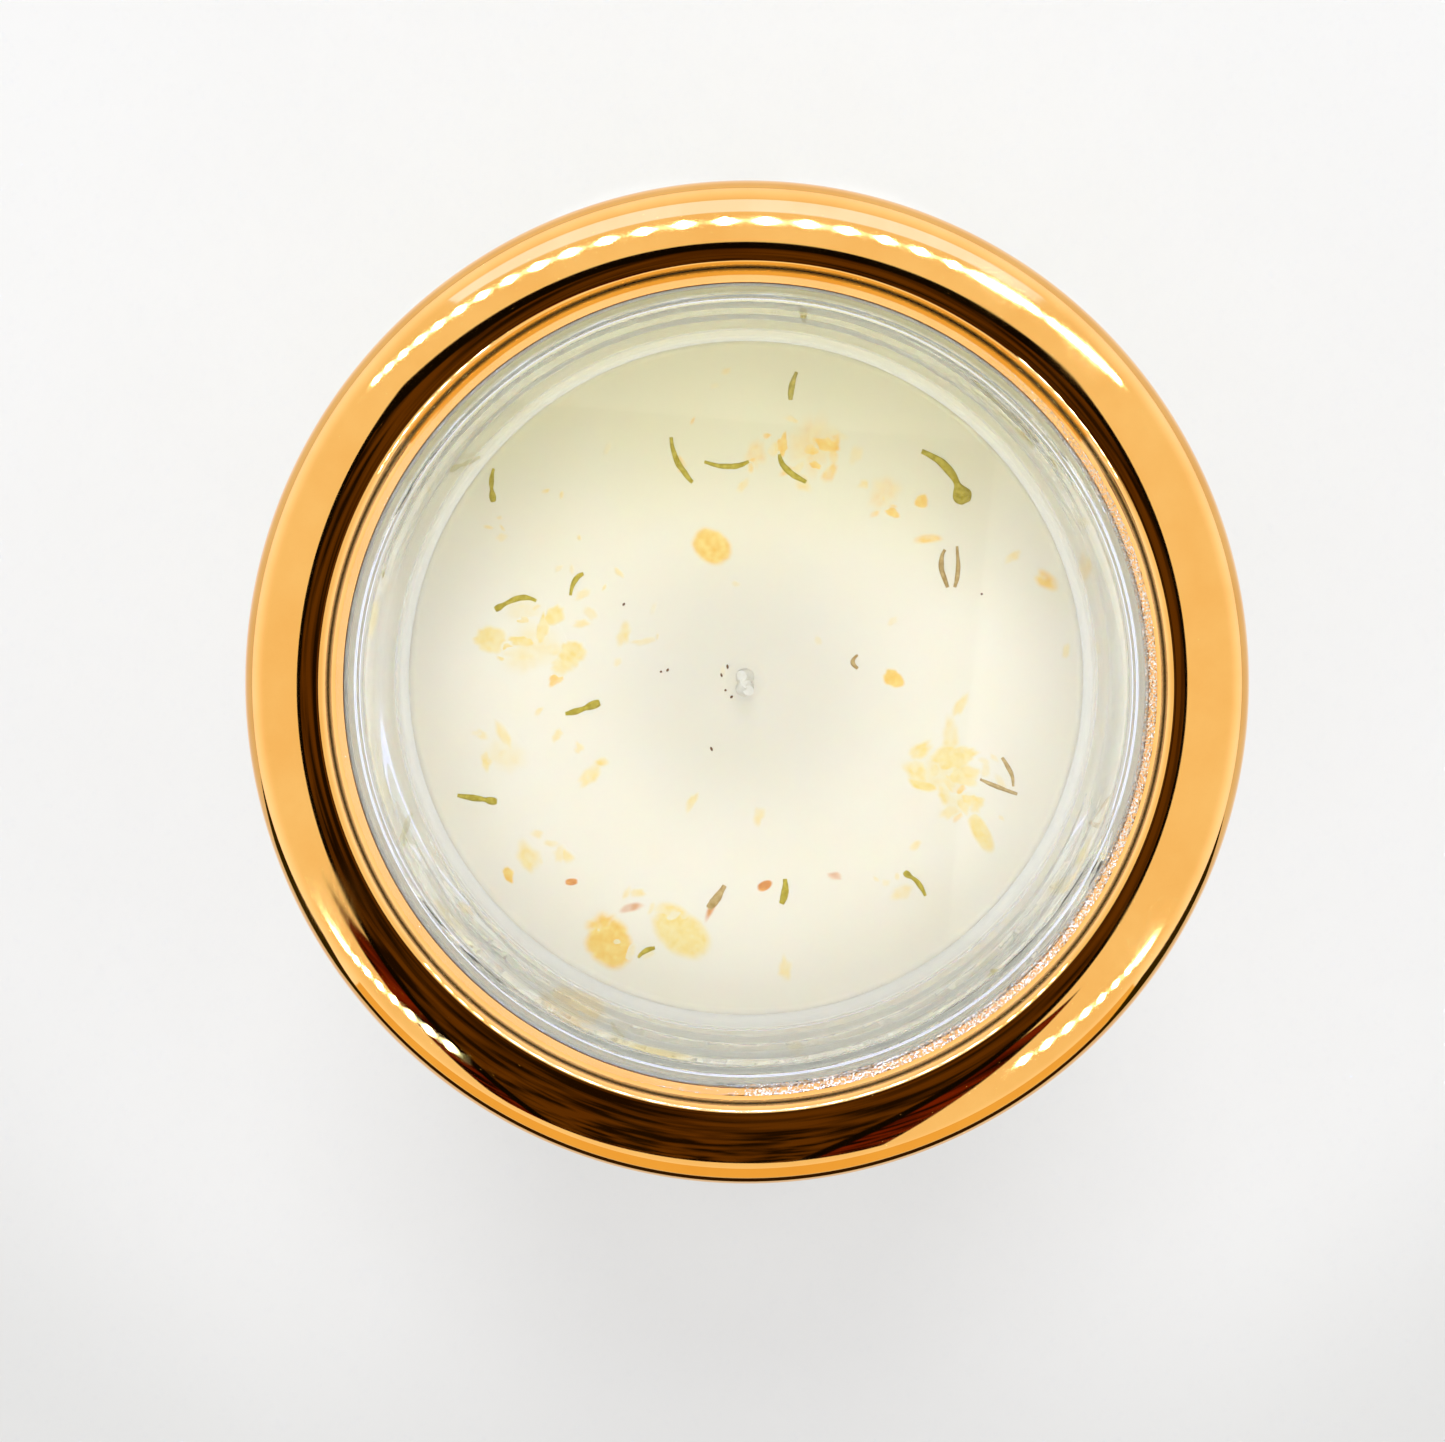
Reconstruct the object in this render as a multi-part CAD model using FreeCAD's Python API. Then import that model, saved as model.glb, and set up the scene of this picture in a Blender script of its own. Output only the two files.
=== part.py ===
"""Scented candle in a clear glass jar, with a gold screw lid that has a clear window.

Millimetres, +Z up. The origin is the centre of the jar's foot, on the surface it stands on.
The wax is poured to the foot of the neck, and dried petals and stems lie in its surface.
"""
import FreeCAD
import Part
import math
import os
from FreeCAD import Vector

# ---- Glass jar ----------------------------------------------------------------
BODY_DIAMETER = 78.0          # straight wall of the jar; neck and lid follow it
JAR_HEIGHT = 78.0             # foot to mouth
WALL = 3.2                    # body wall
FLOOR = 7.0                   # thick glass base
HEEL_RADIUS = 5.0             # round outside corner at the foot
INNER_HEEL_RADIUS = 6.0
PUSH_UP = 1.6                 # hollow under the base
FOOT_RING = 5.5               # flat ring that the jar stands on
PUSH_UP_SLOPE = 3.5           # width of the slope round that hollow
SHOULDER_RADIUS = 4.0
NECK_STEP = 5.3               # body wall in to the neck
NECK_HEIGHT = 14.5            # mouth down to the root of the neck
NECK_ROOT_RADIUS = 1.5
NECK_WALL = 2.8
LIP_RADIUS = 0.9              # rounding of the mouth, inside and outside
INNER_SHOULDER_RADIUS = 2.0
INNER_SHOULDER_DEPTH = 19.5   # mouth down to where the bore starts to widen

# ---- Thread of the neck and of the lid ----------------------------------------
LUG_HEIGHT = 1.3              # lug above the neck
THREAD_PITCH = 5.08
LUG_WIDTH = 2.4               # along the axis, at the neck
LUG_ARC = 139.0               # degrees that a lug spans, one half of the mould
LUG_SPACING = 180.0           # degrees from lug to lug
LUG_COUNT = 4
FIRST_LUG_DEPTH = 2.6         # mouth to the middle of the first lug's start
FIRST_LUG_TURN = -73.0        # clockwise from +Y, seen from above
RIDGE_ARC = 450.0
RIDGE_START_TURN = 30.0
RIDGE_ROOT_WIDTH = 1.8
RIDGE_CREST_WIDTH = 0.8
RIDGE_ROOT = 0.5              # how far the ridge is sunk in the ring it grows from
FLANK_CLEARANCE = 0.17        # ridge to lug along the axis, lid closed
RIDGE_TO_NECK = 0.4
LUG_TO_RING = 0.3

# ---- Lid ------------------------------------------------------------------------
LID_OVERHANG = 1.0            # lid wider than the body, each side
SHEET = 0.5                   # lid metal
RIM_CROWN_RADIUS = 9.4        # gently crowned top of the rim
RIM_OUTER_RADIUS = 3.0        # rounds at its outer and inner edge
RIM_INNER_RADIUS = 1.1
RIM_HEIGHT = 1.8              # crest above the ledge
CREST_TO_EDGE = 4.4           # crest in from the lid's outer edge
LEDGE_WIDTH = 0.9             # hemmed edge out to the rim's inner wall
LEDGE_FILLET = 0.3
OPENING_MARGIN = 1.0          # hemmed edge outside the mouth
LID_TO_SHOULDER = 1.5
CURL_RADIUS = 0.75            # rolled bottom edge, outside
WINDOW_SEAT = 0.7             # window beyond the ring's bore
WINDOW_THICKNESS = 1.0
BEAD_WIDTH = 0.35
BEAD_HEIGHT = 0.3
SEAL_THICKNESS = 0.9
SEAL_MARGIN = 1.2             # seal's inner edge outside the mouth
RING_WALL = 1.6               # threaded plastic ring
RING_FLANGE = 1.6             # its bottom flange
RING_LEAD = 0.6               # chamfer that starts the thread
RING_RIM = 1.3                # wall round the window's edge
RING_RIM_DEPTH = 1.2
RIB_COUNT = 12
RIB_THICKNESS = 1.2
RIB_HEIGHT = 11.0
SEAT_GAP = 0.05               # between pieces of different bodies that rest on each other
RING_GAP = 0.05               # slip clearance between curved faces in the lid
SEAL_GAP = 0.2                # seal edge to the ring's bore

# ---- Candle ---------------------------------------------------------------------
WAX_DEPTH_BELOW_MOUTH = 18.6
WICK_WIDTH = 2.6
WICK_THICKNESS = 1.6
WICK_STANDING = 4.0           # wick above the wax
TAB_DIAMETER = 20.0
TAB_THICKNESS = 0.3
TAB_COLLAR_HEIGHT = 3.0
TAB_COLLAR_WALL = 0.4
STICKER_DIAMETER = 17.0
STICKER_THICKNESS = 0.8

# ---- Dried flowers, half sunk in the wax ----------------------------------------
PETAL_THICKNESS = 0.3
PETAL_PROUD = 0.12            # petal above the wax
SPECK_DIAMETER = 0.28
SPECK_HEIGHT = 0.2
FLOWER_UNIT = 1.0             # what the lengths and widths of petals and stems are counted in

# Each petal: place across and up the wax as a share of its radius, turn, length, width.
GOLD_PETALS = [
    (-0.10, 0.40, -38, 4.2, 2.6),
    (-0.40, -0.79, -70, 4.8, 4.0),
    (0.44, 0.01, -35, 2.0, 1.5),
    (-0.71, -0.58, -75, 1.6, 1.0),
    (0.16, 0.70, -50, 2.4, 1.4),
    (0.205, 0.755, -65, 2.4, 1.1),
    (0.225, 0.65, 30, 2.4, 1.1),
    (0.05, 0.67, 70, 1.3, 0.9),
    (0.89, 0.30, -35, 2.6, 1.7),
    (0.54, 0.42, 5, 2.4, 1.0),
]
RUST_PETALS = [
    (-0.52, -0.60, 5, 1.2, 0.6),
    (0.06, -0.61, 28, 1.5, 0.8),
    (0.27, -0.58, -10, 1.4, 0.7),
    (-0.34, -0.68, 15, 2.4, 0.9),
]
PALE_PETALS = [
    (-0.18, -0.75, -42, 6.6, 3.4),
    (-0.65, -0.53, -60, 3.4, 2.0),
    (-0.54, -0.52, -40, 2.2, 1.6),
    (-0.46, -0.28, 40, 2.9, 1.5),
    (-0.16, -0.36, 62, 2.0, 0.8),
    (0.04, -0.40, 90, 1.9, 1.1),
    (0.53, -0.26, 45, 3.0, 2.2),
    (0.62, -0.34, -15, 3.8, 2.4),
    (0.70, -0.44, -65, 4.2, 1.6),
    (0.64, -0.07, 60, 2.8, 1.0),
    (-0.64, 0.09, -20, 4.4, 3.0),
    (-0.55, 0.02, 15, 4.0, 2.0),
    (-0.68, 0.18, 20, 2.2, 1.0),
    (-0.36, 0.14, 75, 2.2, 1.3),
    (-0.30, 0.12, 5, 1.4, 0.9),
    (-0.60, -0.10, 85, 1.9, 1.4),
    (-0.75, -0.18, -65, 3.0, 1.2),
    (0.12, -0.86, 90, 2.4, 1.4),
    (0.41, 0.58, -60, 1.3, 1.1),
    (0.79, 0.37, 30, 1.7, 1.0),
    (0.47, -0.63, 30, 1.7, 1.1),
]
# Each stem: start, middle and end on the wax as shares of its radius, thickness,
# then the length and thickness of the bud on its end, 0 where it has none.
GREEN_STEMS = [
    ((0.52, 0.68), (0.585, 0.64), (0.625, 0.585), 0.5, 2.0, 2.0),
    ((-0.22, 0.72), (-0.20, 0.65), (-0.155, 0.59), 0.36, 0, 0),
    ((-0.12, 0.65), (-0.05, 0.635), (0.01, 0.65), 0.34, 0, 0),
    ((0.10, 0.67), (0.12, 0.63), (0.18, 0.59), 0.42, 0, 0),
    ((0.15, 0.91), (0.137, 0.87), (0.134, 0.83), 0.36, 0, 0),
    ((-0.745, 0.63), (-0.75, 0.60), (-0.75, 0.57), 0.3, 1.2, 0.7),
    ((-0.62, 0.24), (-0.66, 0.25), (-0.715, 0.23), 0.4, 1.0, 0.7),
    ((-0.52, 0.255), (-0.505, 0.30), (-0.48, 0.32), 0.32, 0, 0),
    ((-0.535, -0.095), (-0.51, -0.09), (-0.48, -0.08), 0.4, 1.6, 0.9),
    ((-0.86, -0.34), (-0.82, -0.347), (-0.78, -0.353), 0.4, 1.2, 0.8),
    ((0.54, -0.64), (0.525, -0.61), (0.50, -0.585), 0.3, 0.9, 0.7),
    ((0.12, -0.59), (0.12, -0.63), (0.11, -0.665), 0.5, 0, 0),
    ((-0.32, -0.83), (-0.30, -0.81), (-0.27, -0.80), 0.34, 0, 0),
]
BROWN_STEMS = [
    ((-0.06, -0.61), (-0.085, -0.65), (-0.11, -0.68), 0.6, 0, 0),
    ((0.70, -0.29), (0.745, -0.31), (0.81, -0.335), 0.28, 0, 0),
    ((0.80, -0.31), (0.79, -0.267), (0.765, -0.225), 0.26, 0, 0),
    ((0.59, 0.39), (0.58, 0.345), (0.60, 0.28), 0.32, 0, 0),
    ((0.625, 0.40), (0.63, 0.335), (0.62, 0.28), 0.28, 0, 0),
    ((0.335, 0.08), (0.32, 0.06), (0.335, 0.04), 0.26, 0, 0),
]
SPECKS = [(-0.25, 0.03), (-0.23, 0.035), (-0.10, -0.20), (0.70, 0.26), (-0.36, 0.23), (-0.07, 0.02),
          (-0.055, -0.025)]

# ---- Levels and radii that follow ------------------------------------------------
BODY_R = BODY_DIAMETER / 2
FOOT_R = BODY_R - HEEL_RADIUS - FOOT_RING    # inner edge of the foot
NECK_R = BODY_R - NECK_STEP
MOUTH_R = NECK_R - NECK_WALL
THREAD_R = NECK_R + LUG_HEIGHT
RING_BORE_R = THREAD_R + LUG_TO_RING
WINDOW_R = RING_BORE_R + WINDOW_SEAT
SEAL_INNER_R = MOUTH_R + SEAL_MARGIN
OPENING_R = MOUTH_R + OPENING_MARGIN
LID_R = BODY_R + LID_OVERHANG

NECK_ROOT_Z = JAR_HEIGHT - NECK_HEIGHT
SHOULDER_TOP_Z = NECK_ROOT_Z - NECK_ROOT_RADIUS
SHOULDER_Z = SHOULDER_TOP_Z - SHOULDER_RADIUS
WAX_Z = JAR_HEIGHT - WAX_DEPTH_BELOW_MOUTH
BORE_WIDENS_Z = JAR_HEIGHT - INNER_SHOULDER_DEPTH
BODY_BORE_Z = BORE_WIDENS_Z - 2 * INNER_SHOULDER_RADIUS      # where the full inside width is reached

SEAL_Z = JAR_HEIGHT + SEAT_GAP
WINDOW_Z = SEAL_Z + SEAL_THICKNESS + SEAT_GAP
LEDGE_Z = WINDOW_Z + WINDOW_THICKNESS        # underside of the lid's inner ledge

CREST_R = LID_R - CREST_TO_EDGE
CROWN_Z = LEDGE_Z + SHEET + RIM_HEIGHT - RIM_CROWN_RADIUS    # centre of the crown's arc
RIM_OUTER_R = LID_R - RIM_OUTER_RADIUS       # centres of the two edge rounds
RIM_WALL_R = OPENING_R + LEDGE_WIDTH
RIM_INNER_R = RIM_WALL_R + RIM_INNER_RADIUS
LEDGE_R = RIM_WALL_R - LEDGE_FILLET

LID_INSIDE_R = LID_R - SHEET
CURL_R = LID_R - CURL_RADIUS
SKIRT_INSET = 2 * CURL_RADIUS - LID_OVERHANG # skirt's inner edge, in from the body wall
SHOULDER_RISE = math.sqrt(SHOULDER_RADIUS ** 2 - (SHOULDER_RADIUS - SKIRT_INSET) ** 2)
LID_BOTTOM_Z = SHOULDER_Z + SHOULDER_RISE + LID_TO_SHOULDER
CURL_Z = LID_BOTTOM_Z + CURL_RADIUS

RING_OUTER_R = LID_INSIDE_R - RING_GAP
RING_BOTTOM_Z = CURL_Z + RING_GAP


def revolved(steps):
    """Turn a closed section about Z. A step is a point (r, z), or a round as (r, z, radius, from, to)."""
    edges = []
    first = last = None
    for step in steps:
        if len(step) == 2:
            start = end = Vector(step[0], 0, step[1])
            arc = None
        else:
            r, z, radius, begin, finish = step
            turns = [math.radians(turn) for turn in (begin, (begin + finish) / 2, finish)]
            on_round = [Vector(r + radius * math.cos(a), 0, z + radius * math.sin(a)) for a in turns]
            start, end = on_round[0], on_round[2]
            arc = Part.Arc(*on_round).toShape()
        if last is None:
            first = start
        elif last.distanceToPoint(start) > 1e-6:
            edges.append(Part.makeLine(last, start))
        if arc:
            edges.append(arc)
        last = end
    if last.distanceToPoint(first) > 1e-6:
        edges.append(Part.makeLine(last, first))
    return Part.Face(Part.Wire(edges)).revolve(Vector(0, 0, 0), Vector(0, 0, 1), 360)


def thread_level(turn):
    """Height of the lugs' middle line at a turn, in degrees clockwise from +Y seen from above."""
    return JAR_HEIGHT - FIRST_LUG_DEPTH - THREAD_PITCH * (turn - FIRST_LUG_TURN) / 360


def thread_sweep(section, turn_low, arc, level):
    """Sweep a section, drawn about z = 0 in the XZ plane, up a right-hand helix.

    turn_low is the clockwise turn of its low end, and level the height of its middle line there.
    """
    rise = THREAD_PITCH * arc / 360
    helix = Part.makeHelix(THREAD_PITCH, rise, NECK_R)
    solid = Part.Wire(helix.Edges).makePipeShell([section], True, True)
    solid.rotate(Vector(0, 0, 0), Vector(0, 0, 1), 90 - turn_low)
    solid.translate(Vector(0, 0, level))
    return solid


def neck_lug(index):
    """One lug of the neck's thread, fading into the neck towards both mould seams."""
    turn_high = FIRST_LUG_TURN + index * LUG_SPACING
    turn_low = turn_high + LUG_ARC
    round_r = (LUG_WIDTH ** 2 / 4 + LUG_HEIGHT ** 2) / (2 * LUG_HEIGHT)
    section = Part.Wire(Part.makeCircle(round_r, Vector(THREAD_R - round_r, 0, 0), Vector(0, 1, 0)))
    lug = thread_sweep(section, turn_low, LUG_ARC, thread_level(turn_low))
    offset = LUG_HEIGHT / (1 - math.cos(math.radians(LUG_ARC / 2)))
    middle = math.radians(90 - turn_high - LUG_ARC / 2)
    centre = Vector(offset * math.cos(middle), offset * math.sin(middle), 0)
    return lug.common(Part.makeCylinder(THREAD_R - offset, JAR_HEIGHT, centre))


def glass_jar():
    inside_r = BODY_R - WALL
    jar = revolved([
        (0, PUSH_UP),
        (FOOT_R - PUSH_UP_SLOPE, PUSH_UP),
        (FOOT_R, 0),
        (BODY_R - HEEL_RADIUS, HEEL_RADIUS, HEEL_RADIUS, -90, 0),
        (BODY_R - SHOULDER_RADIUS, SHOULDER_Z, SHOULDER_RADIUS, 0, 90),
        (NECK_R + NECK_ROOT_RADIUS, NECK_ROOT_Z, NECK_ROOT_RADIUS, -90, -180),
        (NECK_R - LIP_RADIUS, JAR_HEIGHT - LIP_RADIUS, LIP_RADIUS, 0, 90),
        (MOUTH_R + LIP_RADIUS, JAR_HEIGHT - LIP_RADIUS, LIP_RADIUS, 90, 180),
        (MOUTH_R + INNER_SHOULDER_RADIUS, BORE_WIDENS_Z, INNER_SHOULDER_RADIUS, 180, 270),
        (inside_r - INNER_SHOULDER_RADIUS, BODY_BORE_Z, INNER_SHOULDER_RADIUS, 90, 0),
        (inside_r - INNER_HEEL_RADIUS, FLOOR + INNER_HEEL_RADIUS, INNER_HEEL_RADIUS, 0, -90),
        (0, FLOOR),
    ])
    return jar.fuse([neck_lug(index) for index in range(LUG_COUNT)]).removeSplitter()


def wax_block():
    """The wax as poured, before the wick and its tab are taken out of it."""
    inside_r = BODY_R - WALL
    return revolved([
        (0, FLOOR),
        (inside_r - INNER_HEEL_RADIUS, FLOOR + INNER_HEEL_RADIUS, INNER_HEEL_RADIUS, -90, 0),
        (inside_r - INNER_SHOULDER_RADIUS, BODY_BORE_Z, INNER_SHOULDER_RADIUS, 0, 90),
        (MOUTH_R + INNER_SHOULDER_RADIUS, BORE_WIDENS_Z, INNER_SHOULDER_RADIUS, 270, 180),
        (MOUTH_R, WAX_Z),
        (0, WAX_Z),
    ])


def wick_section(grow, low, high):
    """Oval bar of the wick's section, grown outwards, between two heights."""
    width = WICK_WIDTH / 2 + grow
    round_r = WICK_THICKNESS / 2 + grow
    flat = width - round_r
    block = Part.makeBox(2 * round_r, 2 * flat, high - low, Vector(-round_r, -flat, low))
    ends = [Part.makeCylinder(round_r, high - low, Vector(0, side * flat, low)) for side in (-1, 1)]
    return block.fuse(ends).removeSplitter()


def wick():
    return wick_section(0, FLOOR + STICKER_THICKNESS, WAX_Z + WICK_STANDING)


def wick_tab():
    low = FLOOR + STICKER_THICKNESS
    disc = Part.makeCylinder(TAB_DIAMETER / 2, TAB_THICKNESS, Vector(0, 0, low))
    collar = wick_section(TAB_COLLAR_WALL, low, low + TAB_THICKNESS + TAB_COLLAR_HEIGHT)
    return disc.fuse(collar).removeSplitter().cut(wick())


def tab_sticker():
    return Part.makeCylinder(STICKER_DIAMETER / 2, STICKER_THICKNESS, Vector(0, 0, FLOOR))


def on_wax(place, height=0):
    """Point on the wax, from shares of its radius."""
    return Vector(place[0] * MOUTH_R, place[1] * MOUTH_R, WAX_Z + height)


def petal(across, up, turn, length, width):
    """Pointed oval flake, lying in the wax."""
    half_length = length * FLOWER_UNIT / 2
    half_width = width * FLOWER_UNIT / 2
    tips = [Vector(-half_length, 0, 0), Vector(half_length, 0, 0)]
    sides = [Part.Arc(tips[0], Vector(0, side * half_width, 0), tips[1]).toShape() for side in (-1, 1)]
    flake = Part.Face(Part.Wire(sides)).extrude(Vector(0, 0, PETAL_THICKNESS))
    flake.rotate(Vector(0, 0, 0), Vector(0, 0, 1), turn)
    flake.translate(on_wax((across, up), PETAL_PROUD - PETAL_THICKNESS))
    return flake


def stem(start, middle, end, thickness, bud_length, bud_thickness):
    """Round stem along an arc in the wax's surface, with a cone-shaped bud on its end."""
    curve = Part.Arc(on_wax(start), on_wax(middle), on_wax(end))
    path = curve.toShape()
    heading = path.tangentAt(path.FirstParameter)
    stem_r = thickness * FLOWER_UNIT / 2
    ring = Part.Wire(Part.makeCircle(stem_r, on_wax(start), heading))
    solid = Part.Wire(path).makePipeShell([ring], True, False)
    if bud_length:
        leaving = path.tangentAt(path.LastParameter)
        bud_r = bud_thickness * FLOWER_UNIT / 2
        bud = Part.makeCone(stem_r, bud_r, bud_length * FLOWER_UNIT, on_wax(end), leaving)
        solid = solid.fuse(bud).removeSplitter()
    return solid


def speck(across, up):
    return Part.makeCylinder(SPECK_DIAMETER / 2, SPECK_HEIGHT, on_wax((across, up), -SPECK_HEIGHT / 2))


def crown_meets(edge_r, radius):
    """Angle at which the crown runs into an edge round centred at edge_r, and that centre's height."""
    reach = RIM_CROWN_RADIUS - radius
    angle = math.acos((edge_r - CREST_R) / reach)
    return math.degrees(angle), CROWN_Z + reach * math.sin(angle)


def sheet_ring():
    """Lid shell: hemmed opening, ledge over the window, crowned rim, skirt and rolled bottom edge."""
    hem = SHEET / 2
    outer_turn, outer_z = crown_meets(RIM_OUTER_R, RIM_OUTER_RADIUS)
    inner_turn, inner_z = crown_meets(RIM_INNER_R, RIM_INNER_RADIUS)
    fillet_z = LEDGE_Z + SHEET + LEDGE_FILLET
    return revolved([
        (LEDGE_R, LEDGE_Z),
        (OPENING_R + hem, LEDGE_Z + hem, hem, 270, 90),
        (LEDGE_R, fillet_z, LEDGE_FILLET, -90, 0),
        (RIM_INNER_R, inner_z, RIM_INNER_RADIUS, 180, inner_turn),
        (CREST_R, CROWN_Z, RIM_CROWN_RADIUS, inner_turn, outer_turn),
        (RIM_OUTER_R, outer_z, RIM_OUTER_RADIUS, outer_turn, 0),
        (CURL_R, CURL_Z, CURL_RADIUS, 0, -180),
        (CURL_R, CURL_Z, CURL_RADIUS - SHEET, -180, 0),
        (RIM_OUTER_R, outer_z, RIM_OUTER_RADIUS - SHEET, 0, outer_turn),
        (CREST_R, CROWN_Z, RIM_CROWN_RADIUS - SHEET, outer_turn, inner_turn),
        (RIM_INNER_R, inner_z, RIM_INNER_RADIUS - SHEET, inner_turn, 180),
        (LEDGE_R, fillet_z, LEDGE_FILLET + SHEET, 0, -90),
    ])


def lid_window():
    return Part.makeCylinder(WINDOW_R, WINDOW_THICKNESS, Vector(0, 0, WINDOW_Z))


def window_glue_bead():
    """Bead of clear glue on the window, against the hemmed edge."""
    return revolved([
        (OPENING_R - BEAD_WIDTH, LEDGE_Z),
        (OPENING_R, LEDGE_Z),
        (OPENING_R, LEDGE_Z + SHEET / 2),
        (OPENING_R - BEAD_WIDTH / 2, LEDGE_Z + BEAD_HEIGHT),
    ])


def seal_ring():
    return revolved([
        (SEAL_INNER_R, SEAL_Z),
        (RING_BORE_R - SEAL_GAP, SEAL_Z),
        (RING_BORE_R - SEAL_GAP, SEAL_Z + SEAL_THICKNESS),
        (SEAL_INNER_R, SEAL_Z + SEAL_THICKNESS),
    ])


def thread_ring():
    """Plastic ring inside the shell, with the thread that grips the neck's lugs."""
    wall_r = RING_BORE_R + RING_WALL
    recess_r = WINDOW_R + RING_GAP
    flange_z = RING_BOTTOM_Z + RING_FLANGE
    ring = revolved([
        (RING_BORE_R + RING_LEAD, RING_BOTTOM_Z),
        (RING_OUTER_R, RING_BOTTOM_Z),
        (RING_OUTER_R, flange_z),
        (wall_r, flange_z),
        (wall_r, WINDOW_Z - RING_RIM_DEPTH),
        (recess_r + RING_RIM, WINDOW_Z),
        (recess_r + RING_RIM, LEDGE_Z),
        (recess_r, LEDGE_Z),
        (recess_r, WINDOW_Z),
        (RING_BORE_R, WINDOW_Z),
        (RING_BORE_R, RING_BOTTOM_Z + RING_LEAD),
    ])
    rib = Part.makeBox(RING_OUTER_R - wall_r, RIB_THICKNESS, RIB_HEIGHT,
                       Vector(wall_r - RING_GAP, -RIB_THICKNESS / 2, flange_z))
    ribs = []
    for index in range(RIB_COUNT):
        turned = rib.copy()
        turned.rotate(Vector(0, 0, 0), Vector(0, 0, 1), index * 360 / RIB_COUNT)
        ribs.append(turned)
    return ring.fuse(ribs + [lid_ridge()]).removeSplitter()


def lid_ridge():
    """Thread ridge of the lid, just under the neck's lugs when the lid is closed."""
    crest_r = NECK_R + RIDGE_TO_NECK
    root_r = RING_BORE_R + RIDGE_ROOT
    crest = RIDGE_CREST_WIDTH / 2
    flank_slope = (RIDGE_ROOT_WIDTH / 2 - crest) / (RING_BORE_R - crest_r)
    root = crest + flank_slope * (root_r - crest_r)
    corners = [Vector(crest_r, 0, -crest), Vector(root_r, 0, -root),
               Vector(root_r, 0, root), Vector(crest_r, 0, crest)]
    section = Part.makePolygon(corners + corners[:1])
    under_lug = LUG_WIDTH / 2 + crest + FLANK_CLEARANCE
    turn_low = RIDGE_START_TURN + RIDGE_ARC
    return thread_sweep(section, turn_low, RIDGE_ARC, thread_level(turn_low) - under_lug)


def save(name, solids):
    shape = solids if isinstance(solids, Part.Shape) else Part.makeCompound(solids)
    if not shape.isValid():
        raise ValueError(name + " is not a valid shape")
    shape.exportStep("parts/" + name + ".step")


def without(pieces, tools):
    """Cut tools out of each piece that they meet."""
    kept = []
    for piece in pieces:
        near = [tool for tool in tools if piece.BoundBox.intersect(tool.BoundBox)]
        kept.extend(piece.cut(near).Solids if near else [piece])
    return kept


def main():
    os.makedirs("parts", exist_ok=True)
    green_stems = [stem(*row) for row in GREEN_STEMS]
    brown_stems = without([stem(*row) for row in BROWN_STEMS], green_stems)
    specks = [speck(*place) for place in SPECKS]
    sticks = green_stems + brown_stems + specks
    gold_petals = without([petal(*row) for row in GOLD_PETALS], sticks)
    rust_petals = without([petal(*row) for row in RUST_PETALS], sticks)
    pale_petals = without([petal(*row) for row in PALE_PETALS], sticks + gold_petals + rust_petals)
    flowers = sticks + gold_petals + rust_petals + pale_petals
    cast_in = [wick(), wick_tab(), tab_sticker()]

    save("glass_jar", glass_jar())
    save("wax_fill", wax_block().cut(cast_in + flowers))
    save("wick", wick())
    save("wick_tab", wick_tab())
    save("tab_sticker", tab_sticker())
    save("gold_petals", gold_petals)
    save("rust_petals", rust_petals)
    save("pale_petals", pale_petals)
    save("green_stems", green_stems)
    save("brown_stems", brown_stems)
    save("seed_specks", specks)
    save("seal_ring", seal_ring())
    save("lid_shell", sheet_ring())
    save("lid_window", lid_window())
    save("window_glue_bead", window_glue_bead())
    save("thread_ring", thread_ring())


main()
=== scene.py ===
"""Scented candle in a clear glass jar with a gold screw lid and a clear window, dressed for its picture.

Metres, +Z up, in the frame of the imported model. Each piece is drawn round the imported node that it
stands for.
"""
import math
import random

import bmesh
import bpy
from mathutils import Matrix, Vector, noise


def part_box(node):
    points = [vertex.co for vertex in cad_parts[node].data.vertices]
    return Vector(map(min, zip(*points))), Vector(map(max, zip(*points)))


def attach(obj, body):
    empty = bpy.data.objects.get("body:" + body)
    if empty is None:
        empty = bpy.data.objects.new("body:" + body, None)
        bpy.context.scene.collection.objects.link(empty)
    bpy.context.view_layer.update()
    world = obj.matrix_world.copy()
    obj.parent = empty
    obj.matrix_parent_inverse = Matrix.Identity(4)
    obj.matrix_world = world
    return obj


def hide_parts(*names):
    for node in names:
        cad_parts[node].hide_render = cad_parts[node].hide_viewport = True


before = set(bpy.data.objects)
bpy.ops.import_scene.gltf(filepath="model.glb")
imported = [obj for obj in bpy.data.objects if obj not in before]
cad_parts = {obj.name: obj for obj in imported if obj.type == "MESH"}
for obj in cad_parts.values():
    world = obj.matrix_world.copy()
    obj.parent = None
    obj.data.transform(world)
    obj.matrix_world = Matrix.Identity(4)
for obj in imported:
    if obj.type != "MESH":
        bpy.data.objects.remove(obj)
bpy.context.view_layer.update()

MM = 0.001

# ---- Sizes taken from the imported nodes
_, JAR_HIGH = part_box("glass_jar")
WAX_LOW, WAX_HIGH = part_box("wax_fill")
LID_LOW, LID_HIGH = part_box("lid_shell")
WINDOW_LOW, WINDOW_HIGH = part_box("lid_window")
SEAL_LOW, SEAL_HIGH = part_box("seal_ring")
RING_LOW, RING_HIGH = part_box("thread_ring")
WICK_LOW, WICK_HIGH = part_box("wick")

BODY_R = JAR_HIGH.x
MOUTH_Z = JAR_HIGH.z
FLOOR_Z = WAX_LOW.z
INSIDE_R = WAX_HIGH.x
WAX_Z = WAX_HIGH.z
LID_R = LID_HIGH.x
CREST_Z = LID_HIGH.z
LEDGE_Z = WINDOW_HIGH.z          # underside of the ledge, on the window
WINDOW_R = WINDOW_HIGH.x

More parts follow.
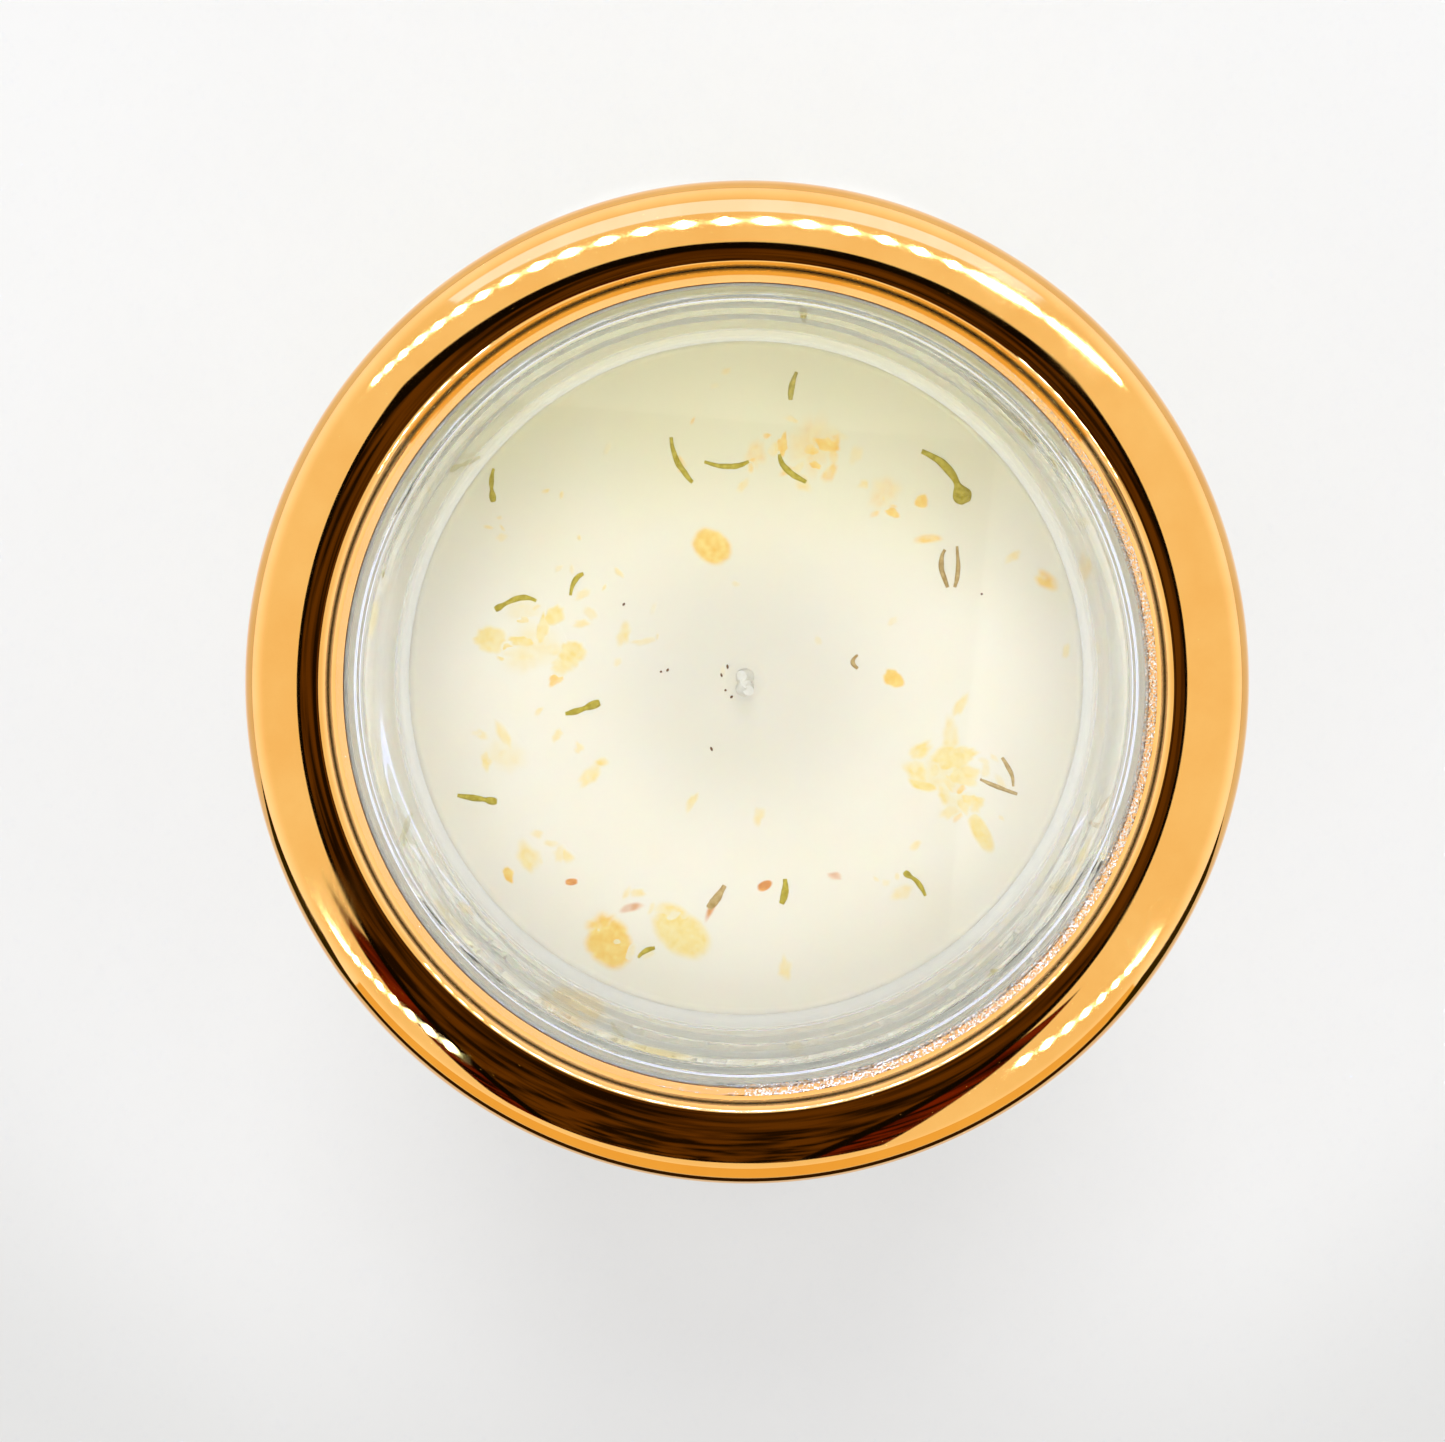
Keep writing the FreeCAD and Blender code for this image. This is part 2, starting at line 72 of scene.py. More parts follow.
# ---- Sizes of the glass
NECK_R = BODY_R - 5.3 * MM
MOUTH_R = NECK_R - 2.8 * MM
HEEL = 5 * MM
FOOT_R = BODY_R - HEEL - 5.5 * MM
PUSH_UP = 1.6 * MM
PUSH_UP_SLOPE = 3.5 * MM
SHOULDER = 4 * MM
NECK_ROOT = 1.5 * MM
NECK_ROOT_Z = MOUTH_Z - 14.5 * MM
LIP = 0.9 * MM
INNER_HEEL = 6 * MM
INNER_SHOULDER = 2 * MM
BORE_WIDENS_Z = MOUTH_Z - 19.5 * MM

# ---- Thread: turns in degrees clockwise from +Y, seen from above
PITCH = 5.08 * MM
LUG_HEIGHT = 1.3 * MM
LUG_HALF_WIDTH = 1.25 * MM
LUG_ARC = 139.0
LUG_COUNT = 4
FIRST_LUG_TURN = -73.0
FIRST_LUG_Z = MOUTH_Z - 2.6 * MM
RIDGE_ARC = 450.0
RIDGE_START_TURN = 30.0
RIDGE_BELOW_LUG = 1.77 * MM
RIDGE_HEIGHT = 1.2 * MM
RIDGE_HALF_WIDTH = 0.95 * MM
RIDGE_SLOPE = 0.5 * MM
RIDGE_FADE = 12                # degrees over which each end fades out

# ---- Lid
SHEET = 0.5 * MM
OPENING_R = MOUTH_R + 1 * MM
RIM_WALL_R = OPENING_R + 0.9 * MM
RIM_CROWN = 9.4 * MM
RIM_OUTER = 3 * MM
RIM_INNER = 1.1 * MM
CREST_R = LID_R - 4.4 * MM
CROWN_Z = CREST_Z - RIM_CROWN
LEDGE_FILLET = 0.3 * MM
LEDGE_SLOPE = 42               # degrees down to the window
CURL = 0.75 * MM
BORE_R = NECK_R + LUG_HEIGHT + 0.3 * MM      # bore of the threaded ring
RING_WALL = 1.6 * MM
RIB_COUNT = 12
RIB_THICKNESS = 1.2 * MM
RIB_HEIGHT = 11.2 * MM

# ---- Tolerances
MERGE_GAP = 0.002 * MM         # vertices nearer than this become one
ON_AXIS = 1e-7                 # a radius below this is on the axis
ON_WALL = 0.05 * MM            # how near a wall a vertex is to belong to it
SMOOTH_BELOW = 50              # degrees: flatter edges are shaded smooth
SMOOTH_SMALL = 60              # the same for strands, petals, stems and specks


# ==== Modelling ====
def start_clean():
    """Object mode with nothing selected."""
    if bpy.context.object and bpy.context.object.mode != "OBJECT":
        bpy.ops.object.mode_set(mode="OBJECT")
    bpy.ops.object.select_all(action="DESELECT")


def made(name):
    """Name the primitive just added, and move its place into its mesh."""
    piece = bpy.context.object
    piece.name = name
    piece.data.name = name
    bpy.ops.object.transform_apply(location=True, rotation=True, scale=True)
    return piece


def only(piece):
    start_clean()
    piece.select_set(True)
    bpy.context.view_layer.objects.active = piece


def edit(piece, kind="VERT"):
    only(piece)
    bpy.ops.object.mode_set(mode="EDIT")
    bpy.ops.mesh.select_mode(type=kind)
    bpy.ops.mesh.select_all(action="DESELECT")


def pick(piece, wanted, kind="VERT"):
    """Select the vertices, edges or faces in edit mode for which wanted(element) is true."""
    mesh = bmesh.from_edit_mesh(piece.data)
    elements = {"VERT": mesh.verts, "EDGE": mesh.edges, "FACE": mesh.faces}[kind]
    for element in elements:
        element.select_set(bool(wanted(element)))
    mesh.select_flush_mode()
    bmesh.update_edit_mesh(piece.data)


def pick_all():
    bpy.ops.mesh.select_all(action="SELECT")


def close_up():
    """Merge what meets and turn all faces outwards."""
    pick_all()
    bpy.ops.mesh.remove_doubles(threshold=MERGE_GAP)
    bpy.ops.mesh.normals_make_consistent(inside=False)
    bpy.ops.object.mode_set(mode="OBJECT")


def smooth(piece, angle=SMOOTH_BELOW):
    only(piece)
    bpy.ops.object.shade_smooth_by_angle(angle=math.radians(angle))


def apply_modifier(piece, kind, **values):
    only(piece)
    modifier = piece.modifiers.new(kind.lower(), kind)
    for key, value in values.items():
        setattr(modifier, key, value)
    bpy.ops.object.modifier_apply(modifier=modifier.name)


def join(name, pieces):
    start_clean()
    for piece in pieces:
        piece.select_set(True)
    bpy.context.view_layer.objects.active = pieces[0]
    if len(pieces) > 1:
        bpy.ops.object.join()
    whole = bpy.context.object
    whole.name = name
    whole.data.name = name
    return whole


def outline(steps, turn_step=7.0):
    """Points of a section. A step is (r, z), or a round as (r, z, radius, from, to) in degrees."""
    points = []
    for step in steps:
        if len(step) == 2:
            points.append(step)
            continue
        r, z, radius, begin, end = step
        count = max(3, math.ceil(abs(end - begin) / turn_step))
        for index in range(count + 1):
            angle = math.radians(begin + (end - begin) * index / count)
            points.append((r + radius * math.cos(angle), z + radius * math.sin(angle)))
    kept = points[:1]
    for point in points[1:]:
        if math.dist(point, kept[-1]) > 2 * MERGE_GAP:
            kept.append(point)
    return kept


def climb(r, low, high, count):
    """Evenly spaced points of a section up or down a straight wall."""
    return [(r, low + (high - low) * index / count) for index in range(count + 1)]


def turned(name, section, steps=256):
    """Draw a section by extruding a point along it, and spin it about Z."""
    start_clean()
    r, z = section[0]
    bpy.ops.mesh.primitive_plane_add(size=MM, location=(r, 0, z))
    piece = made(name)
    edit(piece)
    pick_all()
    bpy.ops.mesh.merge(type="CENTER")
    for here, there in zip(section, section[1:]):
        move = (there[0] - here[0], 0, there[1] - here[1])
        bpy.ops.mesh.extrude_vertices_move(TRANSFORM_OT_translate={"value": move})
    if min(section[0][0], section[-1][0]) > ON_AXIS:
        ends = [Vector((point[0], 0, point[1])) for point in (section[0], section[-1])]
        pick(piece, lambda v: min((v.co - end).length for end in ends) < MERGE_GAP)
        bpy.ops.mesh.edge_face_add()
    pick_all()
    bpy.ops.mesh.spin(steps=steps, angle=2 * math.pi, center=(0, 0, 0), axis=(0, 0, 1))
    close_up()
    return piece


def turn_of(place):
    """Turn of a place in degrees, clockwise from +Y seen from above."""
    return math.degrees(math.atan2(place.x, place.y))


def swell(piece, name, height, share):
    """Raise the surface along its normals by height times share(place)."""
    group = piece.vertex_groups.new(name=name)
    for vertex in piece.data.vertices:
        amount = share(vertex.co)
        if amount > 0:
            group.add([vertex.index], amount, "REPLACE")
    apply_modifier(piece, "DISPLACE", vertex_group=name, strength=height, mid_level=0, direction="NORMAL")


def lug_share(place):
    """Share of a lug's height at a place on the neck's outer wall."""
    if abs(math.hypot(place.x, place.y) - NECK_R) > ON_WALL or place.z < NECK_ROOT_Z:
        return 0
    best = 0
    offset = LUG_HEIGHT / (1 - math.cos(math.radians(LUG_ARC / 2)))      # a lug's arc has its own middle
    round_r = NECK_R + LUG_HEIGHT - offset
    for index in range(LUG_COUNT):
        turn_high = FIRST_LUG_TURN + 180 * index
        along = (turn_of(place) - turn_high) % 360
        if along > LUG_ARC:
            continue
        level = FIRST_LUG_Z - PITCH * (turn_high + along - FIRST_LUG_TURN) / 360
        across = abs(place.z - level) / LUG_HALF_WIDTH
        if across >= 1:
            continue
        from_middle = math.radians(along - LUG_ARC / 2)
        sink = offset * math.sin(from_middle)
        trimmed = offset * math.cos(from_middle) + math.sqrt(round_r ** 2 - sink ** 2) - NECK_R
        full = LUG_HEIGHT * (1 - across ** 2.6) ** 0.75      # flat crest, rounded flanks
        best = max(best, min(full, trimmed) / LUG_HEIGHT)
    return best


def ridge_share(place):
    """Share of the ridge's height at a place on the threaded ring's bore."""
    if abs(math.hypot(place.x, place.y) - BORE_R) > ON_WALL:
        return 0
    best = 0
    for lap in range(3):
        turn = RIDGE_START_TURN + (turn_of(place) - RIDGE_START_TURN) % 360 + 360 * lap
        along = turn - RIDGE_START_TURN
        if along > RIDGE_ARC:
            continue
        level = FIRST_LUG_Z - PITCH * (turn - FIRST_LUG_TURN) / 360 - RIDGE_BELOW_LUG
        across = abs(place.z - level)
        fade = min(1, along / RIDGE_FADE, (RIDGE_ARC - along) / RIDGE_FADE)
        best = max(best, min(1, (RIDGE_HALF_WIDTH - across) / RIDGE_SLOPE) * fade)
    return best


# ==== Finishes ====
def finish(name, settings=()):
    """A material with one Principled shader: (material, node tree, shader)."""
    material = bpy.data.materials.new(name)
    material.use_nodes = True
    tree = material.node_tree
    shader = tree.nodes["Principled BSDF"]
    for key, value in dict(settings).items():
        shader.inputs[key].default_value = value
    return material, tree, shader


def node(tree, kind, **values):
    """A new node. Each value goes to its setting of that name, or else to its socket."""
    made_node = tree.nodes.new("ShaderNode" + kind)
    for key, value in values.items():
        if hasattr(made_node, key):
            setattr(made_node, key, value)
        else:
            made_node.inputs[key].default_value = value
    return made_node


def feed(socket, value):
    """Link a socket to another one, or give it a plain value."""
    if isinstance(value, bpy.types.NodeSocket):
        socket.id_data.links.new(value, socket)
    else:
        socket.default_value = value


def number(tree, operation, *values, clamp=False):
    """Arithmetic on sockets and plain numbers."""
    result = node(tree, "Math", operation=operation, use_clamp=clamp)
    for socket, value in zip(result.inputs, values):
        feed(socket, value)
    return result.outputs[0]


def rises(tree, value, begin, end, low=0.0, high=1.0, curve="SMOOTHSTEP"):
    """A number that goes from low to high as a value goes from begin to end."""
    scale = node(tree, "MapRange", interpolation_type=curve)
    for name, amount in (("From Min", begin), ("From Max", end), ("To Min", low), ("To Max", high)):
        scale.inputs[name].default_value = amount
    feed(scale.inputs["Value"], value)
    return scale.outputs["Result"]


def between(tree, factor, low, high):
    """A number that goes from low to high with a factor from 0 to 1."""
    return rises(tree, factor, 0.0, 1.0, low, high, "LINEAR")


def mixed(tree, factor, first, second, kind="RGBA"):
    """Mix of two colours or numbers, each a socket or a plain value."""
    mix = node(tree, "Mix", data_type=kind)
    for name, value in (("Factor", factor), ("A", first), ("B", second)):
        feed(mix.inputs[name], value)
    return mix.outputs["Result"]


def cover(tree, factor, under, over):
    """Make the surface a mix of two shaders: all of the second where the factor is 1."""
    mix = node(tree, "MixShader")
    for socket, source in zip(mix.inputs, (factor, under, over)):
        feed(socket, source)
    feed(tree.nodes["Material Output"].inputs["Surface"], mix.outputs[0])


def own_place(tree):
    return node(tree, "TexCoord").outputs["Object"]


def own_axes(tree):
    """X, Y and Z of a place on the piece."""
    place = node(tree, "SeparateXYZ")
    feed(place.inputs[0], own_place(tree))
    return place.outputs["X"], place.outputs["Y"], place.outputs["Z"]


def away_from(tree, middle):
    """Distance of a place on the piece from a fixed place."""
    away = node(tree, "VectorMath", operation="DISTANCE")
    away.inputs[1].default_value = middle
    feed(away.inputs[0], own_place(tree))
    return away.outputs["Value"]


def cloudy(tree, size, detail=4.0, roughness=0.55):
    """Noise whose patches are about this wide."""
    cloud = node(tree, "TexNoise", Scale=1 / size, Detail=detail, Roughness=roughness)
    feed(cloud.inputs["Vector"], own_place(tree))
    return cloud.outputs["Fac"]


def streaky(tree, long, wide, detail):
    """Noise in streaks, this long along X and this wide along Y."""
    drawn = node(tree, "Mapping")
    drawn.inputs["Scale"].default_value = (1 / long, 1 / wide, 1)
    feed(drawn.inputs["Vector"], own_place(tree))
    cloud = node(tree, "TexNoise", Scale=1.0, Detail=detail)
    feed(cloud.inputs["Vector"], drawn.outputs[0])
    return cloud.outputs["Fac"]


def blend_of(tree, factor, first, second, low=0.35, high=0.65):
    """Ramp from one colour to another as a factor goes from low to high."""
    ramp = node(tree, "ValToRGB")
    ramp.color_ramp.elements[0].position = low
    ramp.color_ramp.elements[0].color = (*first, 1)
    ramp.color_ramp.elements[1].position = high
    ramp.color_ramp.elements[1].color = (*second, 1)
    feed(ramp.inputs["Fac"], factor)
    return ramp.outputs["Color"]


def rough_skin(tree, shader, height, depth):
    """Bump of a height field, depth in metres."""
    bump = node(tree, "Bump", Strength=1.0, Distance=depth)
    feed(bump.inputs["Height"], height)
    feed(shader.inputs["Normal"], bump.outputs["Normal"])


MIRRORED_ENOUGH = 3.5      # bounces inside the glass


def let_lamps_in(tree, shader):
    """Lamps, scattered light and much-mirrored rays pass straight through, so what is inside is lit."""
    path = node(tree, "LightPath").outputs
    lit = number(tree, "MAXIMUM", path["Is Shadow Ray"], path["Is Diffuse Ray"])
    deep = number(tree, "GREATER_THAN", path["Ray Depth"], MIRRORED_ENOUGH)
    passes = number(tree, "MAXIMUM", lit, deep)
    cover(tree, passes, shader.outputs[0], node(tree, "BsdfTransparent").outputs[0])


def clear_glass():
    material, tree, shader = finish("clear jar glass", {
        "Base Color": (0.985, 1.0, 0.985, 1), "Transmission Weight": 1.0, "IOR": 1.5})
    feed(shader.inputs["Roughness"], between(tree, cloudy(tree, 9 * MM), 0.0, 0.01))
    rough_skin(tree, shader, cloudy(tree, 12 * MM, 1.0), 0.004 * MM)
    let_lamps_in(tree, shader)
    return material


def window_film(name, smoothest, roughest):
    """Clear plastic sheet: what is behind shows unbent, with a faint mirror on top."""
    material, tree, shader = finish(name)
    tree.nodes.remove(shader)
    mirror = node(tree, "BsdfGlossy", Color=(1, 1, 1, 1))
    dull = between(tree, cloudy(tree, 4 * MM), smoothest, roughest)
    feed(mirror.inputs["Roughness"], dull)
    open_side = node(tree, "BsdfTransparent", Color=(0.985, 0.99, 0.985, 1))
    fresnel = node(tree, "Fresnel", IOR=1.49)
    cover(tree, fresnel.outputs[0], open_side.outputs[0], mirror.outputs[0])
    return material


GLINTS_BEGIN, GLINTS_FULL = 0.5, 1.6       # turn from +Y in radians


def glinting(material):
    """Grains of set glue that catch the gold and the light, from the right to the front."""
    tree = material.node_tree
    clear = tree.nodes["Material Output"].inputs["Surface"].links[0].from_socket
    x, y, _ = own_axes(tree)
    turn = number(tree, "ARCTAN2", x, y)
    grains = rises(tree, cloudy(tree, 0.16 * MM, 1.0, 0.5), 0.47, 0.56)
    share = number(tree, "MULTIPLY", grains, rises(tree, turn, GLINTS_BEGIN, GLINTS_FULL))
    glint = node(tree, "BsdfPrincipled", Metallic=0.7, Roughness=0.3)
    colour = blend_of(tree, cloudy(tree, 0.3 * MM), (0.85, 0.50, 0.16), (1.0, 0.93, 0.80))
    feed(glint.inputs["Base Color"], colour)
    rough_skin(tree, glint, cloudy(tree, 0.2 * MM), 0.05 * MM)
    cover(tree, share, clear, glint.outputs[0])
    return material


# Where hands have dulled the gold: turn in degrees clockwise from +Y, distance from the axis and
# size in mm, dullness
WORN_PATCHES = [(33, 37.8, 4.5, 0.09), (45, 37.8, 5, 0.09), (120, 37.8, 5, 0.08), (243, 37.5, 5, 0.12)]


def worn(tree, rough, turn, reach, size, dullness):
    """Add a patch of fine scratches to a roughness."""
    angle = math.radians(turn)
    size *= MM
    middle = (reach * MM * math.sin(angle), reach * MM * math.cos(angle), CREST_Z)
    inside = rises(tree, away_from(tree, middle), size, 0.2 * size, 0.0, dullness)
    scratched = rises(tree, streaky(tree, 0.25 * MM, 3 * MM, 2.0), 0.3, 0.7, 0.6)
    return number(tree, "MULTIPLY_ADD", inside, scratched, rough)


def gold_metal():
    material, tree, shader = finish("gold lacquered steel", {"Metallic": 1.0})
    colour = blend_of(tree, cloudy(tree, 6 * MM), (0.93, 0.475, 0.115), (0.96, 0.52, 0.14))
    feed(shader.inputs["Base Color"], colour)
    rough = between(tree, cloudy(tree, 3 * MM), 0.02, 0.06)
    for patch in WORN_PATCHES:
        rough = worn(tree, rough, *patch)
    feed(shader.inputs["Roughness"], rough)
    # Fine lines from spinning the blank, strongest on the ledge
    x, y, _ = own_axes(tree)
    flat = node(tree, "CombineXYZ")
    feed(flat.inputs["X"], x)
    feed(flat.inputs["Y"], y)
    length = node(tree, "VectorMath", operation="LENGTH")
    feed(length.inputs[0], flat.outputs[0])
    reach = length.outputs["Value"]
    lines = node(tree, "TexNoise", noise_dimensions="1D", Scale=1 / (0.12 * MM), Detail=3.0)
    feed(lines.inputs["W"], reach)
    edge = 0.1 * MM
    on_ledge = rises(tree, reach, RIM_WALL_R + edge, RIM_WALL_R - edge, 0.03, 1.0, "LINEAR")
    height = number(tree, "MULTIPLY", lines.outputs["Fac"], on_ledge)
    rough_skin(tree, shader, height, 0.0012 * MM)
    return material


WAX_MIDDLE = (0.90, 0.852, 0.745)
# The second wax colour is painted shade: the wax darker and yellower towards +Y, where the lid's rim
# shades it
WAX_PAINTED_SHADE = (0.84, 0.785, 0.51)
PAINTED_SHADE_FROM, PAINTED_SHADE_TO = 2 * MM, 31 * MM      # along +Y


def wax_colour(tree):
    """Cream wax with faint clouds, turning darker, yellower and greener towards +Y as painted shade of the
    lid's rim.
    """
    _, y, _ = own_axes(tree)
    share = rises(tree, y, PAINTED_SHADE_FROM, PAINTED_SHADE_TO)
    cloud = number(tree, "MULTIPLY_ADD", cloudy(tree, 9 * MM, 2.0), 0.3, -0.12)
    total = number(tree, "ADD", share, cloud)
    return blend_of(tree, total, WAX_MIDDLE, WAX_PAINTED_SHADE, 0.0, 1.0)


def wax_skin(tree, shader):
    """Soft shine and faint dimples of set wax."""
    shader.inputs["Specular IOR Level"].default_value = 0.3
    feed(shader.inputs["Roughness"], between(tree, cloudy(tree, 3 * MM), 0.35, 0.5))
    rough_skin(tree, shader, cloudy(tree, 2.5 * MM, 3.0), 0.02 * MM)


def cream_wax():
    material, tree, shader = finish("cream soy wax", {
        "Subsurface Weight": 0.35, "Subsurface Radius": (1.0, 0.75, 0.45), "Subsurface Scale": 1.5 * MM})
    feed(shader.inputs["Base Color"], wax_colour(tree))
    wax_skin(tree, shader)
    return material


def flower(name, deep, pale):
    """Petal under a skin of wax. Its attribute shows is 0 where wax hides it and 1 where it is bare."""
    material, tree, shader = finish(name)
    shows = node(tree, "Attribute", attribute_name="shows").outputs["Fac"]
    bare = blend_of(tree, cloudy(tree, 0.9 * MM), deep, pale, 0.3, 0.7)
    # Where wax hides it, the petal takes the wax's colour, painted shade towards +Y included
    through = mixed(tree, shows, wax_colour(tree), bare)
    feed(shader.inputs["Base Color"], through)
    wax_skin(tree, shader)
    return material


def mottled(name, first, second, patch, rough=(0.5, 0.7), metallic=0.0, bump=0.0, specular=0.5):
    """Plain finish with two close colours in patches."""
    material, tree, shader = finish(name, {"Metallic": metallic, "Specular IOR Level": specular})
    feed(shader.inputs["Base Color"], blend_of(tree, cloudy(tree, patch), first, second))
    feed(shader.inputs["Roughness"], between(tree, cloudy(tree, patch), *rough))
    if bump:
        rough_skin(tree, shader, cloudy(tree, patch / 2), bump)
    return material


def give(piece, material, body, slot, *nodes_replaced):
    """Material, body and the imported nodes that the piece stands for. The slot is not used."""
    piece.data.materials.clear()
    piece.data.materials.append(material)
    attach(piece, body)
    if nodes_replaced:
        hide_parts(*nodes_replaced)


# ==== Pieces ====
def glass_jar():
    soft = 0.6 * MM          # pressed corners are never sharp
    section = outline([
        (0, PUSH_UP),
        (FOOT_R - PUSH_UP_SLOPE - 2 * soft, PUSH_UP),
        (FOOT_R - PUSH_UP_SLOPE, PUSH_UP - 0.12 * MM),
        (FOOT_R - soft, 0.15 * MM),
        (FOOT_R + soft, 0),
        (BODY_R - HEEL, HEEL, HEEL, -90, 0),
        (BODY_R, NECK_ROOT_Z / 2),
        (BODY_R - SHOULDER, NECK_ROOT_Z - NECK_ROOT - SHOULDER, SHOULDER, 0, 90),
        (NECK_R + NECK_ROOT, NECK_ROOT_Z, NECK_ROOT, -90, -180),
        *climb(NECK_R, NECK_ROOT_Z, MOUTH_Z - LIP, 76),
        (NECK_R - LIP, MOUTH_Z - LIP, LIP, 0, 90),
        (MOUTH_R + LIP, MOUTH_Z - LIP, LIP, 90, 180),
        (MOUTH_R + INNER_SHOULDER, BORE_WIDENS_Z, INNER_SHOULDER, 180, 270),
        (INSIDE_R - INNER_SHOULDER, BORE_WIDENS_Z - 2 * INNER_SHOULDER, INNER_SHOULDER, 90, 0),
        (INSIDE_R - INNER_HEEL, FLOOR_Z + INNER_HEEL, INNER_HEEL, 0, -90),
        (0, FLOOR_Z),
    ])
    jar = turned("clear_glass_jar", section, 288)
    swell(jar, "lugs", LUG_HEIGHT, lug_share)
    smooth(jar)
    give(jar, clear_glass(), "jar", "jar_glass", "glass_jar")


def wax():
    meniscus = 0.5 * MM
    dimple = 0.35 * MM       # sink round the wick
    wick_side = 1.5          # mm from the axis, within which the wax climbs the wick a little
    top = WAX_Z - 0.04 * MM
    clear = 0.02 * MM        # the wax stays a hair inside the glass
    section = outline([
        (0, FLOOR_Z + clear),
        (INSIDE_R - INNER_HEEL, FLOOR_Z + INNER_HEEL, INNER_HEEL - clear, -90, 0),
        (INSIDE_R - INNER_SHOULDER, BORE_WIDENS_Z - 2 * INNER_SHOULDER, INNER_SHOULDER - clear, 0, 90),
        (MOUTH_R + INNER_SHOULDER, BORE_WIDENS_Z, INNER_SHOULDER + clear, 270, 180),
        (MOUTH_R - clear, top + meniscus),
        (MOUTH_R - clear - meniscus, top + meniscus, meniscus, 0, -90),
        *[(MOUTH_R * share, top) for share in (0.95, 0.9, 0.8, 0.7, 0.6, 0.5, 0.4, 0.3)],
        *[(r * MM, top - dimple * math.exp(-((r - 0.6) / 2.0) ** 2) * (1 if r > wick_side else 0.4))
          for r in (6, 5, 4.2, 3.6, 3.0, 2.5, 2.0, 1.6, 1.2)],
        (0, top - 0.1 * MM),
    ])
    block = turned("cream_wax", section, 224)
    smooth(block)
    give(block, cream_wax(), "jar", "cream_wax", "wax_fill")


def lid_section():
    """The lid's sheet metal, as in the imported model."""
    def crown_meets(edge_r, radius):
        reach = RIM_CROWN - radius
        angle = math.acos((edge_r - CREST_R) / reach)
        return math.degrees(angle), CROWN_Z + reach * math.sin(angle)

    hem = SHEET / 2
    outer_r = LID_R - RIM_OUTER
    inner_r = RIM_WALL_R + RIM_INNER
    outer_turn, outer_z = crown_meets(outer_r, RIM_OUTER)
    inner_turn, inner_z = crown_meets(inner_r, RIM_INNER)
    ledge_r = RIM_WALL_R - LEDGE_FILLET
    fillet_z = LEDGE_Z + SHEET + LEDGE_FILLET
    curl_r = LID_R - CURL
    curl_z = LID_LOW.z + CURL
    slope_turn = 90 + LEDGE_SLOPE
    wall_turn = 158                                  # where the inner round starts, above the slope
    slope_r = OPENING_R + hem + hem * math.cos(math.radians(slope_turn))
    slope_z = LEDGE_Z + hem + hem * math.sin(math.radians(slope_turn))
    run = RIM_WALL_R + 0.05 * MM - slope_r           # a little way into the rim's wall
    climb_z = run * math.tan(math.radians(LEDGE_SLOPE))
    return outline([
        (ledge_r, LEDGE_Z),
        (OPENING_R + hem, LEDGE_Z + hem, hem, 270, slope_turn),
        *[(slope_r + run * share, slope_z + climb_z * share) for share in (0.33, 0.67, 1.0)],
        (inner_r, inner_z, RIM_INNER, wall_turn, inner_turn),
        (CREST_R, CROWN_Z, RIM_CROWN, inner_turn, outer_turn),
        (outer_r, outer_z, RIM_OUTER, outer_turn, 0),
        (LID_R, (outer_z + curl_z) / 2),
        (curl_r, curl_z, CURL, 0, -180),
        (curl_r, curl_z, CURL - SHEET, -180, 0),
        (outer_r, outer_z, RIM_OUTER - SHEET, 0, outer_turn),
        (CREST_R, CROWN_Z, RIM_CROWN - SHEET, outer_turn, inner_turn),
        (inner_r, inner_z, RIM_INNER - SHEET, inner_turn, 180),
        (ledge_r, fillet_z, LEDGE_FILLET + SHEET, 0, -90),
    ], 6.0)


def lid_shell():
    shell = turned("gold_lid_shell", lid_section(), 288)
    smooth(shell)
    give(shell, gold_metal(), "lid", "gold_metal", "lid_shell")


def lid_window():
    low, high, soft = WINDOW_LOW.z, WINDOW_HIGH.z, 0.12 * MM
    pane = turned("clear_lid_window", outline([
        (0, low),
        *[(WINDOW_R - inwards * MM, low) for inwards in (12, 2, 0.4, 0.2)],
        (WINDOW_R - soft, low + soft, soft, -90, 0),
        (WINDOW_R - soft, high - soft, soft, 0, 90),
        *[(WINDOW_R - inwards * MM, high) for inwards in (0.2, 0.4, 2, 12)],
        (0, high),
    ], 22), 192)
    smooth(pane)
    give(pane, window_film("clear window plastic", 0.02, 0.06), "lid", "window_plastic", "lid_window")


